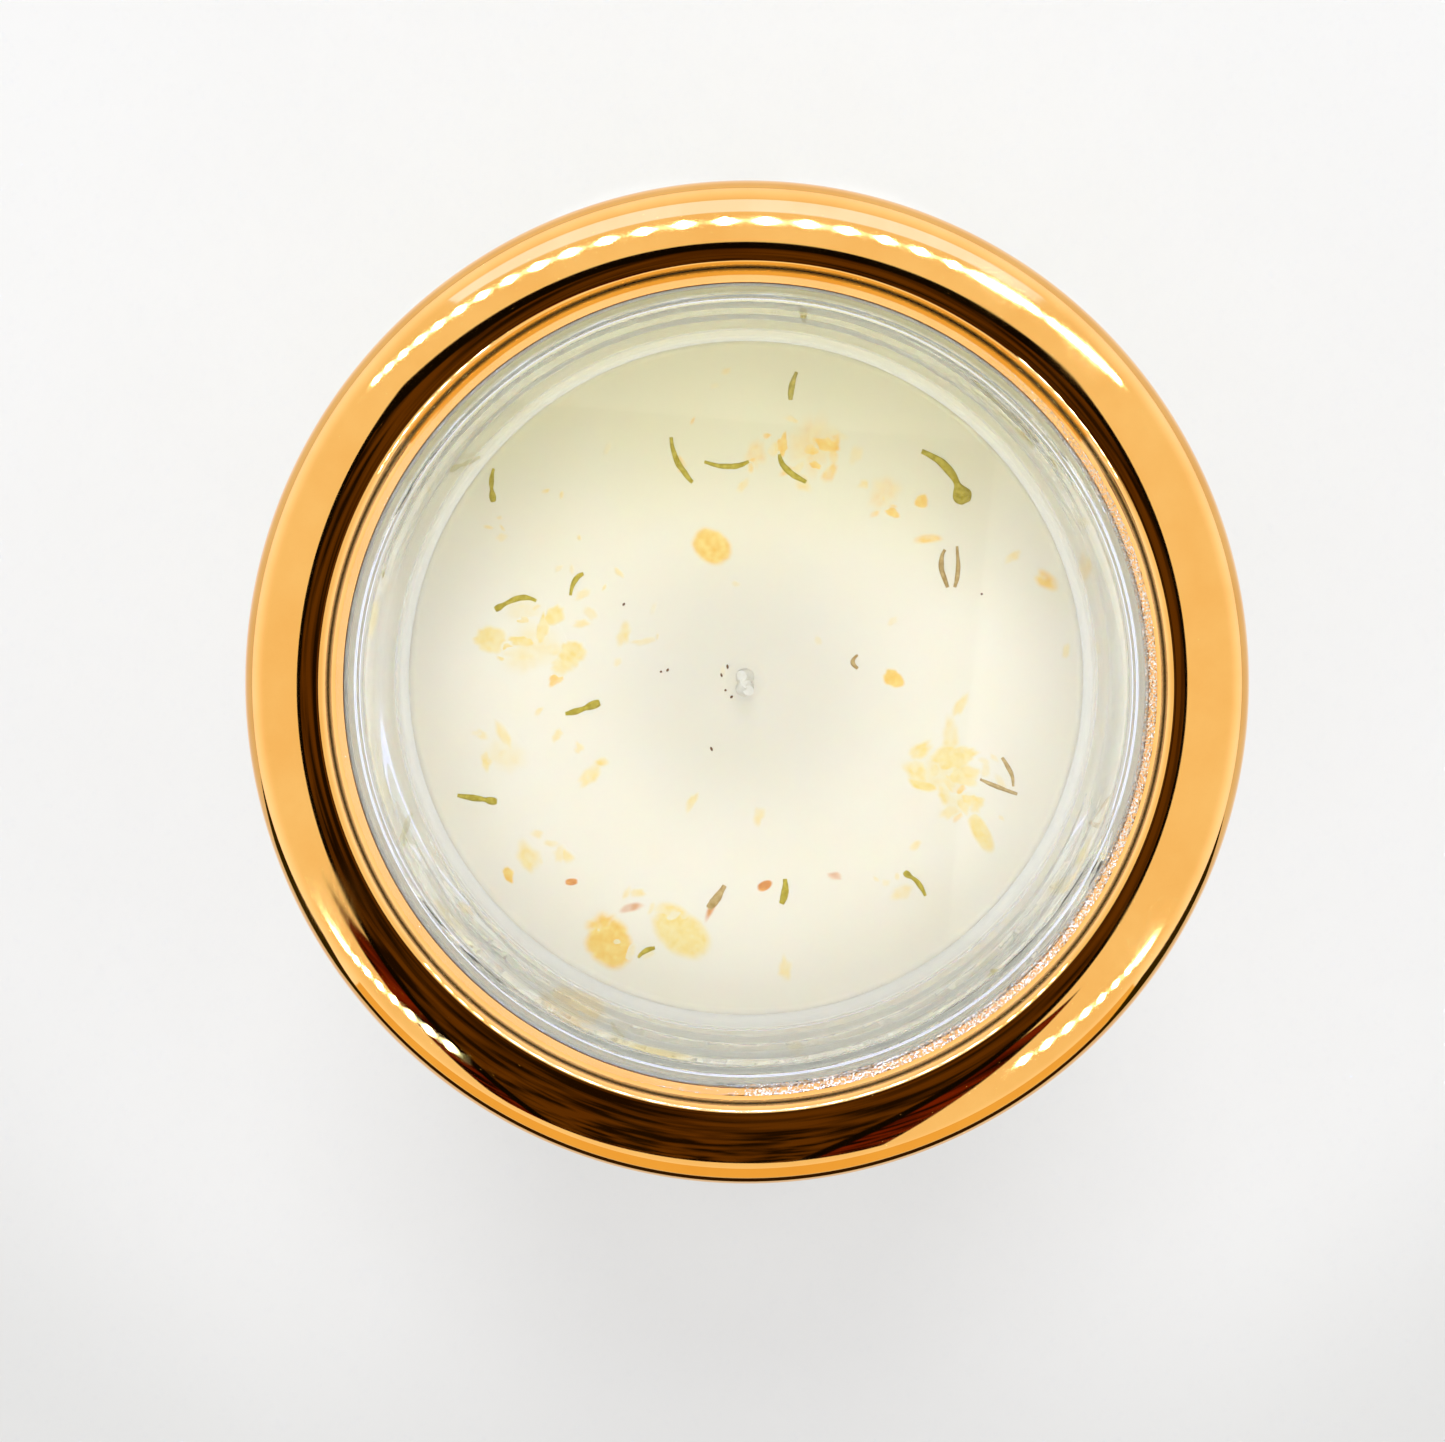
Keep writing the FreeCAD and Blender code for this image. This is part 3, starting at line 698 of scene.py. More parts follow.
def glue_bead():
    """Clear glue that laps over the hemmed edge, and stands in small beads from the right to the front."""
    hem_r, hem_z, hem = OPENING_R + SHEET / 2, LEDGE_Z + SHEET / 2, SHEET / 2 + 0.02 * MM
    rise = math.tan(math.radians(LEDGE_SLOPE))
    lip, step = 0.06 * MM, 0.11 * MM
    over = outline([(hem_r, hem_z, hem, 200, 90 + LEDGE_SLOPE)], 8)
    end_r, end_z = over[-1]
    section = [
        (OPENING_R + 0.1 * MM, LEDGE_Z),
        (OPENING_R - 0.2 * MM, LEDGE_Z),
        (OPENING_R - 0.17 * MM, LEDGE_Z + lip),
        (OPENING_R - 0.08 * MM, LEDGE_Z + 2 * lip),
        *over,
        *[(end_r + step * index, end_z + step * index * rise) for index in (1, 2, 3, 4)],
        (end_r + 0.45 * MM, end_z + 0.40 * MM * rise - 0.08 * MM),
        (hem_r, hem_z),
    ]
    bead = turned("window_glue_bead_clear", section, 900)

    def lumps(place):
        reach = math.hypot(place.x, place.y)
        if place.z < LEDGE_Z + 0.02 * MM or reach > end_r + 0.42 * MM or abs(reach - hem_r) < 0.005 * MM:
            return 0
        turn = turn_of(place) % 360
        lumpy = max(0, min(1, (turn - 20) / 70, (205 - turn) / 25))      # most from 90 to 180 degrees
        grain = noise.noise(place / (0.20 * MM)) * 0.5 + 0.5
        return (0.05 + 0.95 * lumpy) * max(0, min(1, (grain - 0.45) * 4))

    swell(bead, "lumps", 0.10 * MM, lumps)
    smooth(bead, 80)
    glue = glinting(window_film("clear window glue", 0.05, 0.3))
    give(bead, glue, "lid", "clear_glue", "window_glue_bead")


FOAM_BUMP = 0.03 * MM


def seal_ring():
    soft = 0.15 * MM
    inner = MOUTH_R + 1.2 * MM
    outer = SEAL_HIGH.x
    low, high = SEAL_LOW.z, SEAL_HIGH.z
    ring = turned("foam_seal_ring", outline([
        (inner + soft, low + soft, soft, 180, 270),
        (outer - soft, low + soft, soft, 270, 360),
        (outer - soft, high - soft, soft, 0, 90),
        (inner + soft, high - soft, soft, 90, 180),
    ], 30), 192)
    smooth(ring)
    material = mottled("white seal foam", (0.90, 0.895, 0.87), (0.95, 0.945, 0.92), 0.6 * MM,
                       (0.6, 0.8), bump=FOAM_BUMP)
    give(ring, material, "seal", "seal_foam", "seal_ring")


def thread_ring():
    wall_r = BORE_R + RING_WALL
    recess_r = WINDOW_R + 0.05 * MM
    outer_r = RING_HIGH.x
    low, high = RING_LOW.z, RING_HIGH.z
    flange_z = low + 1.6 * MM
    window_z = WINDOW_LOW.z
    lead = 0.6 * MM
    section = outline([
        (BORE_R + lead, low),
        (outer_r, low),
        (outer_r, flange_z),
        (wall_r, flange_z),
        (wall_r, window_z - 1.2 * MM),
        (recess_r + 1.3 * MM, window_z),
        (recess_r + 1.3 * MM, high),
        (recess_r, high),
        (recess_r, window_z),
        *climb(BORE_R, window_z, low + lead, 84),
    ])
    ring = turned("threaded_plastic_ring", section, 216)
    swell(ring, "ridge", RIDGE_HEIGHT, ridge_share)
    ribs = []
    rooted = 0.1 * MM              # how far a rib reaches into the wall and the flange
    depth = outer_r - wall_r + rooted
    middle = (wall_r - rooted + outer_r) / 2
    rib_z = flange_z - rooted + RIB_HEIGHT / 2
    for index in range(RIB_COUNT):
        turn = 2 * math.pi * index / RIB_COUNT
        start_clean()
        bpy.ops.mesh.primitive_cube_add(
            size=1, rotation=(0, 0, turn),
            location=(middle * math.cos(turn), middle * math.sin(turn), rib_z))
        bpy.context.object.scale = (depth, RIB_THICKNESS, RIB_HEIGHT)
        ribs.append(made("rib"))
    rib_set = join("ribs", ribs)
    edit(rib_set, "EDGE")
    pick(rib_set, lambda e: abs(e.verts[0].co.z - e.verts[1].co.z) > MM, "EDGE")
    bpy.ops.mesh.bevel(offset=0.15 * MM, segments=2)
    bpy.ops.object.mode_set(mode="OBJECT")
    apply_modifier(ring, "BOOLEAN", operation="UNION", solver="EXACT", object=rib_set)
    bpy.data.objects.remove(rib_set)
    smooth(ring, 35)
    material = mottled("natural white plastic", (0.92, 0.915, 0.89), (0.95, 0.945, 0.92), 3 * MM,
                       (0.35, 0.45))
    give(ring, material, "lid", "natural_plastic", "thread_ring")


def tube(name, places, thickness, steps, radii=()):
    """Tube along a row of places, closed at both ends. Radii are shares of its thickness."""
    start_clean()
    bpy.ops.curve.primitive_nurbs_path_add()
    path = bpy.context.object
    spline = path.data.splines[0]
    spline.points.add(len(places) - len(spline.points))
    for point, place in zip(spline.points, places):
        point.co = (*place, 1)
    for point, radius in zip(spline.points, radii):
        point.radius = radius
    spline.use_endpoint_u = True
    path.data.bevel_depth = thickness
    path.data.bevel_resolution = 3
    path.data.use_fill_caps = True
    path.data.resolution_u = steps
    bpy.ops.object.convert(target="MESH")
    return made(name)


def wick():
    """Flat braid of three waxed strands that cross over each other."""
    half_wide = WICK_HIGH.y - 0.55 * MM
    half_thick = WICK_HIGH.x - 0.45 * MM
    tall = WICK_HIGH.z - 0.3 * MM - WICK_LOW.z
    turns, count = 9, 220
    strands = []
    for index in range(3):
        places = []
        for step in range(count):
            share = step / (count - 1)
            phase = 2 * math.pi * (turns * share + index / 3)
            z = WICK_LOW.z + tall * share
            places.append((half_thick * math.sin(2 * phase), half_wide * math.sin(phase), z))
        strands.append(tube("strand", places, 0.52 * MM, 2))
    braid = join("braided_wick", strands)
    smooth(braid, SMOOTH_SMALL)
    material = mottled("waxed cotton", (0.92, 0.89, 0.80), (0.97, 0.955, 0.91), 0.5 * MM,
                       (0.45, 0.65), bump=0.03 * MM)
    give(braid, material, "jar", "cotton_wick", "wick")


def tab_and_sticker():
    metal = mottled("tinned steel", (0.62, 0.61, 0.58), (0.72, 0.71, 0.69), 2 * MM, (0.25, 0.4), 1.0)
    foam = mottled("white foam sticker", (0.80, 0.80, 0.78), (0.88, 0.88, 0.86), 0.7 * MM,
                   (0.7, 0.85), bump=FOAM_BUMP)
    for name, material in (("wick_tab", metal), ("tab_sticker", foam)):
        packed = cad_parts[name]
        packed.data.materials.clear()
        packed.data.materials.append(material)


# ---- Dried flowers
# Petal rows: place as shares of the wax radius, turn in degrees, length and width in mm, how much
# shows, kind
# Kinds: 0 oval, 1 lobed top with a pointed foot, 2 torn flake, 3 folded strip
OVAL, LOBED, TORN, FOLDED = range(4)
GOLD_PETALS = [
    (-0.10, 0.40, -38, 4.2, 2.9, 0.95, 0),
    (-0.405, -0.785, -60, 5.2, 4.6, 0.85, 1),
    (-0.43, -0.73, 20, 3.4, 2.4, 0.6, 2),
    (0.44, 0.01, -35, 2.2, 1.6, 0.9, 1),
    (-0.71, -0.58, -75, 1.6, 1.1, 0.85, 2),
    (0.89, 0.30, -35, 2.9, 1.9, 0.6, 1),
    (0.54, 0.42, 5, 3.0, 1.0, 0.55, 3),
    (0.52, 0.53, 60, 1.3, 1.2, 0.8, 2),
]
RUST_PETALS = [
    (-0.52, -0.60, 5, 1.3, 0.7, 0.9, 0),
    (0.06, -0.61, 28, 1.6, 0.9, 0.95, 0),
    (0.27, -0.58, -10, 1.5, 0.8, 0.4, 2),
    (-0.34, -0.68, 15, 2.5, 0.9, 0.45, 3),
    (-0.09, -0.665, 62, 4.2, 0.8, 0.55, 3),
]
PALE_PETALS = [
    (-0.19, -0.755, -42, 6.6, 3.9, 0.75, 0),
    (-0.215, -0.70, -25, 4.2, 1.8, 0.6, 3),
    (0.705, -0.45, -62, 4.6, 1.6, 0.7, 0),
    (-0.16, -0.36, 62, 2.1, 0.9, 0.5, 2),
    (0.04, -0.40, 90, 2.0, 1.2, 0.5, 2),
    (0.64, -0.07, 60, 3.0, 1.0, 0.45, 2),
    (-0.36, 0.14, 75, 2.4, 1.5, 0.5, 2),
    (-0.30, 0.12, 5, 2.4, 0.8, 0.4, 2),
    (0.12, -0.86, 90, 2.6, 1.5, 0.45, 2),
    (0.79, 0.37, 30, 1.9, 1.1, 0.45, 2),
    (0.47, -0.63, 30, 2.4, 1.6, 0.4, 2),
    (-0.43, -0.24, 10, 1.6, 1.0, 0.55, 2),
    (-0.56, -0.16, 80, 1.4, 0.8, 0.5, 2),
    (-0.65, -0.53, -60, 3.2, 2.4, 0.55, 2),
    (-0.54, -0.52, -40, 2.2, 1.5, 0.5, 2),
    (-0.46, -0.28, 40, 2.8, 1.5, 0.55, 2),
    (-0.72, -0.16, -65, 3.3, 1.0, 0.5, 2),
    (0.95, 0.09, 80, 1.6, 0.8, 0.35, 2),
]
# Loose heaps of torn petals: place and spread as shares of the wax radius, how many, longest in mm,
# how much shows
GOLD_HEAPS = [
    (0.20, 0.70, 0.10, 9, 2.6, 0.62),
    (0.03, 0.67, 0.05, 3, 1.3, 0.7),
    (0.41, 0.56, 0.06, 4, 1.4, 0.6),
    (-0.17, 0.68, 0.07, 3, 1.7, 0.4),
    (-0.63, 0.10, 0.045, 4, 2.6, 0.62),
    (0.615, -0.325, 0.05, 3, 2.6, 0.5),
]
PALE_HEAPS = [
    (-0.63, 0.10, 0.10, 11, 3.6, 0.62),
    (-0.66, 0.22, 0.06, 4, 2.2, 0.5),
    (-0.48, 0.22, 0.04, 3, 2.2, 0.45),
    (-0.72, -0.22, 0.07, 5, 2.0, 0.5),
    (-0.52, -0.20, 0.06, 4, 1.5, 0.45),
    (0.58, -0.28, 0.09, 11, 4.2, 0.68),
    (0.64, -0.36, 0.05, 5, 3.0, 0.6),
    (-0.60, -0.55, 0.08, 4, 2.2, 0.4),
    (0.18, 0.66, 0.13, 8, 2.4, 0.45),
    (0.74, -0.22, 0.07, 4, 2.0, 0.35),
    (-0.30, -0.70, 0.14, 8, 2.2, 0.4),
    (0.45, -0.60, 0.08, 4, 1.6, 0.35),
    (-0.50, 0.40, 0.12, 6, 1.3, 0.5),
    (-0.74, 0.48, 0.05, 4, 1.5, 0.45),
    (-0.05, 0.92, 0.05, 3, 1.6, 0.35),
    (0.05, 0.0, 0.75, 14, 1.5, 0.25),
]


DENSE_SHOWS, DENSE_SPREAD = 0.5, 0.12       # a heap that shows more and spreads less has a blurred bed
WITHIN_WAX = 0.97                           # no flake reaches past this share of the wax radius


def heap(row, seed):
    """Petal rows of a loose heap."""
    across, up, spread, count, longest, shows = row
    chance = random.Random(seed)
    rows = []
    if shows >= DENSE_SHOWS and spread < DENSE_SPREAD:
        bed = 1.98 * spread * MOUTH_R / MM
        rows.append((across, up, chance.uniform(0, 180), bed, 0.75 * bed, 0.45 * shows, TORN))
    for _ in range(count):
        length = longest * chance.uniform(0.45, 1.0)
        rows.append((across + chance.gauss(0, spread * 0.6), up + chance.gauss(0, spread * 0.6),
                     chance.uniform(0, 180), length, length * chance.uniform(0.4, 0.75),
                     shows * chance.uniform(0.6, 1.15), TORN))
    return [row for row in rows
            if math.hypot(row[0], row[1]) * MOUTH_R + 0.75 * row[3] * MM < WITHIN_WAX * MOUTH_R]


# Stem rows: start, middle and end as shares of the wax radius, then in mm the thickness of the stem
# and the length and thickness of its bud, which are 0 where it has none.
GREEN_STEMS = [
    ((0.52, 0.68), (0.585, 0.64), (0.625, 0.585), 0.55, 2.0, 2.0),
    ((-0.22, 0.72), (-0.20, 0.65), (-0.155, 0.59), 0.40, 0, 0),
    ((-0.12, 0.65), (-0.05, 0.635), (0.01, 0.65), 0.36, 0, 0),
    ((0.10, 0.67), (0.12, 0.63), (0.18, 0.59), 0.44, 0, 0),
    ((0.15, 0.91), (0.137, 0.87), (0.134, 0.83), 0.40, 0, 0),
    ((-0.745, 0.63), (-0.75, 0.60), (-0.75, 0.57), 0.32, 1.2, 0.7),
    ((-0.62, 0.24), (-0.66, 0.25), (-0.715, 0.23), 0.42, 1.0, 0.7),
    ((-0.52, 0.255), (-0.505, 0.30), (-0.48, 0.32), 0.34, 0, 0),
    ((-0.535, -0.095), (-0.51, -0.09), (-0.48, -0.08), 0.42, 1.6, 0.9),
    ((-0.86, -0.34), (-0.82, -0.347), (-0.78, -0.353), 0.42, 1.2, 0.8),
    ((0.54, -0.64), (0.525, -0.61), (0.50, -0.585), 0.34, 0.9, 0.7),
    ((0.12, -0.59), (0.12, -0.63), (0.11, -0.665), 0.5, 0, 0),
    ((-0.32, -0.83), (-0.30, -0.81), (-0.27, -0.80), 0.36, 0, 0),
]
BROWN_STEMS = [
    ((-0.06, -0.61), (-0.085, -0.65), (-0.11, -0.68), 0.6, 0, 0),
    ((0.70, -0.29), (0.745, -0.31), (0.81, -0.335), 0.30, 0, 0),
    ((0.80, -0.31), (0.79, -0.267), (0.765, -0.225), 0.28, 0, 0),
    ((0.59, 0.39), (0.58, 0.345), (0.60, 0.28), 0.34, 0, 0),
    ((0.625, 0.40), (0.63, 0.335), (0.62, 0.28), 0.30, 0, 0),
    ((0.335, 0.08), (0.32, 0.06), (0.335, 0.04), 0.28, 0, 0),
]
SPECKS = [(-0.25, 0.03), (-0.23, 0.035), (-0.10, -0.20), (0.70, 0.26), (-0.36, 0.23), (-0.07, 0.02),
          (-0.058, -0.025), (-0.040, -0.045), (-0.052, 0.045)]


PETAL_SPREADS = 1.12           # a petal is this much larger than its row says, as its edge fades
PETAL_LIFT = 0.016 * MM
PETAL_DOME = 0.025 * MM
PETAL_RIPPLE = 0.004 * MM


def petal_edge(kind, angle, seed):
    """Reach of a petal's edge at an angle, as a share of its half length or width."""
    ragged = noise.noise(Vector((math.cos(angle) * 1.3, math.sin(angle) * 1.3, seed * 3.7)))
    fine = noise.noise(Vector((math.cos(angle) * 4, math.sin(angle) * 4, seed * 5.1)))
    reach = 1 + 0.10 * ragged + 0.05 * fine
    if kind == OVAL:
        reach *= 1 - 0.10 * abs(math.cos(angle)) ** 6
    elif kind == LOBED:
        notch = 0.22 * math.exp(-((math.pi - abs(angle)) / 0.35) ** 2)
        lobes = 0.12 * math.sin(angle) ** 2 * (math.cos(angle) > 0)
        reach *= 1 - notch - lobes
    elif kind == TORN:
        reach *= 1 + 0.32 * ragged + 0.12 * fine
    return reach


def petal(row, seed):
    """Thin flake on the wax. How much of it shows fades out towards its edge."""
    across, up, turn, length, width, shows, kind = row
    large, bold = length > 1.8, shows > 0.6
    rings, spokes = (9, 40) if large else (6, 26)
    start_clean()
    bpy.ops.mesh.primitive_circle_add(vertices=spokes, radius=1, fill_type="NGON")
    flake = made("petal")
    edit(flake, "FACE")
    pick_all()
    for _ in range(rings):
        bpy.ops.mesh.inset(thickness=1 / (rings + 1), depth=0)
    bpy.ops.mesh.poke()
    bpy.ops.object.mode_set(mode="OBJECT")
    shown = flake.data.attributes.new("shows", "FLOAT", "POINT")
    heading = math.radians(turn)
    soft_edge = 0.35 if bold else 0.65
    uneven = 0.2 if bold else 0.5
    level = WAX_Z + 0.0006 * MM * (seed % 40)       # flakes lie at slightly different heights
    for vertex in flake.data.vertices:
        reach = math.hypot(vertex.co.x, vertex.co.y)
        edge = petal_edge(kind, math.atan2(vertex.co.y, vertex.co.x), seed)
        x = vertex.co.x * edge * PETAL_SPREADS * length * MM / 2
        y = vertex.co.y * edge * PETAL_SPREADS * width * MM / 2
        if kind == FOLDED:
            y += 0.12 * width * MM * math.cos(3 * x / (length * MM))
        soft = min(1, (1 - reach) / soft_edge)
        soft = soft * soft * (3 - 2 * soft)
        patch = 1 + uneven * noise.noise(Vector((x / (0.7 * MM), y / (0.7 * MM), seed * 2.3)))
        vein = 1 - 0.12 * bold * abs(math.sin(y / (0.3 * MM)))
        shown.data[vertex.index].value = max(0, min(1, 1.5 * shows * soft * patch * vein))
        ripple = noise.noise(Vector((x / MM, y / MM, seed)))
        vertex.co = (
            across * MOUTH_R + x * math.cos(heading) - y * math.sin(heading),
            up * MOUTH_R + x * math.sin(heading) + y * math.cos(heading),
            level + PETAL_LIFT + PETAL_DOME * soft + PETAL_RIPPLE * ripple)
    apply_modifier(flake, "SOLIDIFY", thickness=0.12 * MM, offset=-1)
    return flake


def petals(name, rows, heaps, material, slot, packed, seed):
    rows = rows + [row for index, loose in enumerate(heaps) for row in heap(loose, seed + index)]
    whole = join(name, [petal(row, seed + index) for index, row in enumerate(rows)])
    smooth(whole, SMOOTH_SMALL)
    whole.visible_shadow = False        # the film of wax over a petal is lit as the rest is
    whole.visible_diffuse = False
    give(whole, material, "jar", slot, packed)


# How full a bud is at shares of its length
BUD_SHAPE = ((0.15, 0.25), (0.35, 0.75), (0.6, 1.0), (0.8, 0.85), (0.95, 0.45), (1.0, 0.2))


def stem(row, seed):
    """Dry stem: tapers, bends unevenly and ends in a bud where it has one."""
    start, middle, end, thickness, bud_length, bud_thickness = row
    start, middle, end = (Vector((across * MOUTH_R, up * MOUTH_R)) for across, up in (start, middle, end))
    bend = 2 * middle - (start + end) / 2
    leaving = (end - bend).normalized()
    points = []
    for index in range(15):
        share = index / 14
        place = (1 - share) ** 2 * start + 2 * share * (1 - share) * bend + share ** 2 * end
        points.append((place, thickness * (0.42 + 0.35 * math.sin(math.pi * share * 0.85) ** 2)))
    if bud_length:
        swelling = (bud_thickness - thickness) / 2
        points += [(end + leaving * bud_length * MM * share, thickness / 2 + swelling * full)
                   for share, full in BUD_SHAPE]
    places, radii = [], []
    for index, (place, half) in enumerate(points):
        wander = 0.06 * MM * noise.noise(Vector((place.x / (1.2 * MM), place.y / (1.2 * MM), seed)))
        sink = WAX_Z - 0.02 * MM - 0.25 * half * MM
        places.append((place.x + wander, place.y + wander, sink))
        radii.append(half * (1 + 0.25 * noise.noise(Vector((index * 0.7, seed, 0)))))
    return tube("stem", places, MM, 4, radii)


def stems(name, rows, material, slot, packed, seed):
    whole = join(name, [stem(row, seed + index) for index, row in enumerate(rows)])
    smooth(whole, SMOOTH_SMALL)
    give(whole, material, "jar", slot, packed)


SPECK_R = 0.11 * MM


def specks():
    """Dark grains of seed, some round and some longer."""
    grains = []
    for index, (across, up) in enumerate(SPECKS):
        start_clean()
        bpy.ops.mesh.primitive_ico_sphere_add(
            subdivisions=2, radius=SPECK_R, location=(across * MOUTH_R, up * MOUTH_R, WAX_Z),
            rotation=(0, 0, index))
        bpy.context.object.scale = (1 + 0.5 * (index % 3), 1, 0.7)
        grains.append(made("speck"))
    whole = join("dark_seed_specks", grains)
    smooth(whole, SMOOTH_SMALL)
    material = mottled("dark seed", (0.12, 0.05, 0.02), (0.25, 0.12, 0.05), 0.1 * MM, specular=0.1)
    give(whole, material, "jar", "dark_seed", "seed_specks")


# ==== Studio ====
def look_at(place, aim, up):
    """Rotation that looks from place to aim with up as the picture's up."""
    back = (place - aim).normalized()
    side = up.cross(back).normalized()
    top = back.cross(side)
    return Matrix((side, top, back)).transposed().to_4x4()


def camera():
    data = bpy.data.cameras.new("camera")
    data.lens = 41.2
    data.sensor_width = 36
    data.clip_start = 0.005
    view = bpy.data.objects.new("camera", data)
    bpy.context.scene.collection.objects.link(view)
    place = Vector((0.00005, 0.00529, 0.2113))
    aim = Vector((-0.00182, -0.00256, 0.0773))
    view.matrix_world = Matrix.Translation(place) @ look_at(place, aim, Vector((0, 1, 0)))
    bpy.context.scene.camera = view


def glow(name, colour, strength):
    """Even light of a card. The clear pieces show the room behind it instead."""
    material, tree, shader = finish(name)
    tree.nodes.remove(shader)
    light = node(tree, "Emission", Strength=strength, Color=(*colour, 1))
    path = node(tree, "LightPath").outputs
    behind = number(tree, "MAXIMUM", path["Transparent Depth"], path["Is Transmission Ray"])
    hidden = number(tree, "GREATER_THAN", behind, 0.5)
    cover(tree, hidden, light.outputs[0], node(tree, "BsdfTransparent").outputs[0])
    material.cycles.emission_sampling = "NONE"
    return material


def unseen(thing):
    """The studio's cards show only where they are mirrored, and light nothing."""
    thing.visible_camera = False
    thing.visible_diffuse = False
    thing.visible_shadow = False


def patchy(board, second, long, wide):
    """Give a card a second colour in streaks along X."""
    tree = board.data.materials[0].node_tree
    light = tree.nodes["Emission"]
    first = tuple(light.inputs["Color"].default_value)[:3]
    streaks = streaky(tree, long, wide, 3.0)
    feed(light.inputs["Color"], blend_of(tree, streaks, second, first, 0.4, 0.6))


def hang(data, place, aim):
    """A lamp at a place, turned to its aim. It lights surfaces and isn't mirrored in them."""
    lamp = bpy.data.objects.new(data.name, data)
    bpy.context.scene.collection.objects.link(lamp)
    turn = look_at(Vector(place), Vector(aim), Vector((0.01, 1, 0)))
    lamp.matrix_world = Matrix.Translation(place) @ turn
    lamp.visible_camera = False
    lamp.visible_glossy = False
    lamp.visible_transmission = False


def wax_lamp(name, place, aim, cone, energy, size):
    """Narrow lamp that reaches the wax through the lid's window."""
    data = bpy.data.lights.new(name, "SPOT")
    data.spot_size = math.radians(cone)
    data.spot_blend = 0.5
    data.shadow_soft_size = size
    data.energy = energy
    hang(data, place, aim)


def card(name, place, size, colour, strength=1.0, turn=(0, 0, 0)):
    """Flat card of the studio, with its middle at a place."""
    start_clean()
    bpy.ops.mesh.primitive_plane_add(size=1, location=place, rotation=turn)
    board = bpy.context.object
    board.scale = (*size, 1)
    made(name)
    board.data.materials.append(glow(name, colour, strength))
    unseen(board)
    return board


def table():
    """Pale floor, with painted shade that makes it a little darker away from the candle."""
    start_clean()
    bpy.ops.mesh.primitive_plane_add(size=3)
    floor = made("floor")
    material, tree, shader = finish("pale table", {"Roughness": 0.6, "Specular IOR Level": 0.2})
    near = blend_of(tree, cloudy(tree, 0.12), (0.90, 0.90, 0.90), (0.92, 0.92, 0.92))
    # Painted shade: the floor's colour darkens away from the candle, where the light falls off
    painted_shade_far_off = rises(tree, away_from(tree, (0, 0.03, 0)), 0.115, 0.16)
    feed(shader.inputs["Base Color"], mixed(tree, painted_shade_far_off, near, (0.80, 0.80, 0.795, 1)))
    floor.data.materials.append(material)


CEILING = 0.2105               # height of what hangs over the candle
UPRIGHT = (math.pi / 2, 0, 0)
TILTED = (0, 0, -0.09)


def cards():
    """What the gold mirrors: a dark slab and hands above it, a warm room and a blue window."""
    card("phone edge", (-0.015, -0.056, CEILING), (0.092, 0.188), (0.004, 0.003, 0.001), turn=TILTED)
    slab = card("phone", (-0.015, -0.064, CEILING - 0.0004), (0.078, 0.176), (0.11, 0.05, 0.004),
                turn=TILTED)
    patchy(slab, (0.012, 0.006, 0.0), 12 * MM, 12 * MM)
    hands = card("hands", (-0.020, -0.10, CEILING + 0.001), (0.130, 0.11), (0.16, 0.022, 0.001))
    patchy(hands, (0.006, 0.002, 0.0), 30 * MM, 10 * MM)
    card("front", (0, -0.16, 0.03), (0.60, 0.06), (0.03, 0.015, 0.0), turn=UPRIGHT)
    card("warm wall", (0, -0.22, 0.13), (0.55, 0.14), (0.92, 0.70, 0.28), turn=UPRIGHT)
    sleeve = (0.03, 0.025, 0.0)
    card("left sleeve", (-0.19, -0.10, 0.04), (0.09, 0.10), sleeve, turn=(math.pi / 2, -0.5, -1.0))
    card("right sleeve", (0.19, -0.12, 0.04), (0.10, 0.10), sleeve, turn=(math.pi / 2, 0.5, 0.9))
    card("back window", (0, 0.5, 0.68), (0.80, 0.40), (0.30, 0.43, 0.95), 3.6, turn=UPRIGHT)


# Y, and X from and to
LED_ROWS = ((0.085, -0.108, 0.108), (-0.085, -0.130, -0.066), (-0.085, 0.060, 0.125))
LED_STEP = 0.008


def led_rows():
    """Rows of small diamonds, each turned towards the candle, that the rim mirrors as dashes."""
    dashes = []
    for row_y, low, high in LED_ROWS:
        for index in range(int((high - low) / LED_STEP) + 1):
            start_clean()
            across = low + LED_STEP * index
            turn = math.atan2(-across, row_y)
            bpy.ops.mesh.primitive_circle_add(
                vertices=4, radius=1, fill_type="NGON", rotation=(0, 0, turn),
                location=(across, row_y, CEILING - 0.003))
            bpy.context.object.scale = (0.0021 * abs(math.cos(turn)), 0.011, 1)
            dashes.append(made("led"))
    row = join("led_rows", dashes)
    row.data.materials.append(glow("led", (0.38, 0.55, 1.0), 110))
    unseen(row)


EDGE_LAMPS = 12
EDGE_LAMP_R = 0.2              # how far out they hang, each across from the wax it lights
EDGE_AIM_R = 0.0258


def lamps():
    """Soft key from the back, a spot straight down on the wax and a ring of spots for the wax's edge."""
    key = bpy.data.lights.new("key", "AREA")
    key.shape = "DISK"
    key.size = 0.5
    key.energy = 3.3
    hang(key, (0, 0.7, 0.9), (0, 0, 0.05))
    wax_lamp("down", (0, 0.005, 1.0), (0, 0, WAX_Z), 4.8, 15.5, 0.02)
    for index in range(EDGE_LAMPS):
        turn = 2 * math.pi * (index + 0.5) / EDGE_LAMPS
        across, up = math.cos(turn), math.sin(turn)
        wax_lamp("edge", (-EDGE_LAMP_R * across, -EDGE_LAMP_R * up, 0.6),
                 (EDGE_AIM_R * across, EDGE_AIM_R * up, WAX_Z), 1.8, 5.0, 0.012)


ROOM = 0.83                    # light of the room on all but metal


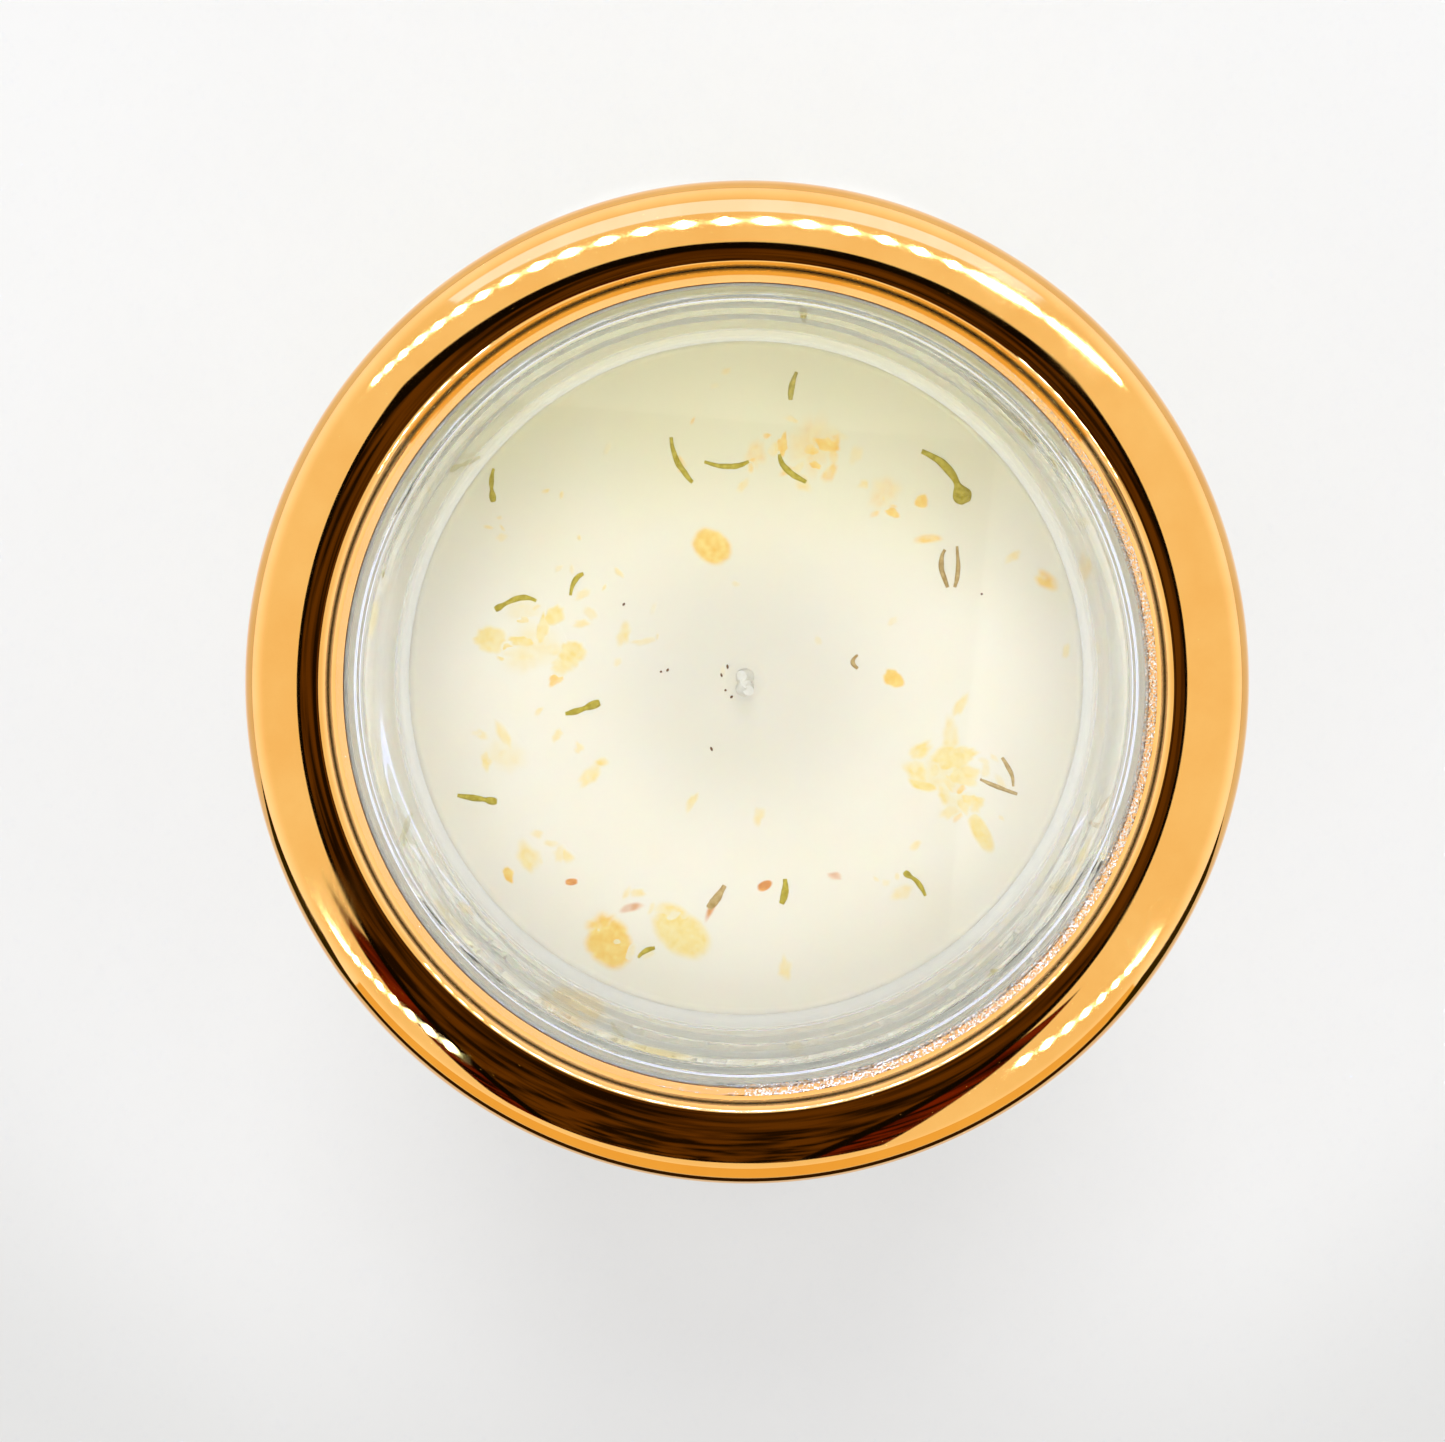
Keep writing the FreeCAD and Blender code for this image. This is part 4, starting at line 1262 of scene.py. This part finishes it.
def room():
    """White room. Metal mirrors it brighter low down and bluer overhead."""
    world = bpy.data.worlds.new("studio")
    bpy.context.scene.world = world
    world.use_nodes = True
    tree = world.node_tree
    white = (1, 1, 1)
    facing = node(tree, "SeparateXYZ")
    feed(facing.inputs[0], node(tree, "TexCoord").outputs["Generated"])
    height = facing.outputs["Z"]
    path = node(tree, "LightPath").outputs
    on_metal = number(tree, "SUBTRACT", path["Is Glossy Ray"], path["Is Transmission Ray"], clamp=True)
    mirrored = rises(tree, height, 0.75, 0.1, 1.0, 1.5)
    tint = blend_of(tree, height, (0.80, 0.86, 1.25), white, 0.1, 0.7)
    sky = tree.nodes["Background"].inputs
    feed(sky["Strength"], mixed(tree, on_metal, ROOM, mirrored, "FLOAT"))
    feed(sky["Color"], mixed(tree, on_metal, (*white, 1), tint))


# ==== All together ====
camera()
table()
cards()
led_rows()
lamps()
room()
glass_jar()
wax()
lid_shell()
lid_window()
glue_bead()
seal_ring()
thread_ring()
wick()
tab_and_sticker()
gold = flower("gold petal", (0.92, 0.55, 0.10), (0.95, 0.74, 0.26))
petals("gold_flower_petals", GOLD_PETALS, GOLD_HEAPS, gold, "gold_petal", "gold_petals", 11)
rust = flower("rust petal", (0.62, 0.20, 0.04), (0.85, 0.42, 0.12))
petals("rust_flower_petals", RUST_PETALS, [], rust, "rust_petal", "rust_petals", 31)
pale = flower("pale petal", (0.90, 0.69, 0.22), (0.92, 0.79, 0.42))
petals("pale_flower_petals", PALE_PETALS, PALE_HEAPS, pale, "pale_petal", "pale_petals", 51)
green = mottled("dry green stem", (0.40, 0.31, 0.012), (0.62, 0.50, 0.07), 0.5 * MM, specular=0.12)
stems("green_flower_stems", GREEN_STEMS, green, "green_stem", "green_stems", 81)
brown = mottled("dry brown stem", (0.42, 0.27, 0.08), (0.62, 0.45, 0.2), 0.5 * MM, specular=0.12)
stems("brown_flower_stems", BROWN_STEMS, brown, "brown_stem", "brown_stems", 101)
specks()

bpy.context.scene.view_settings.view_transform = "Standard"
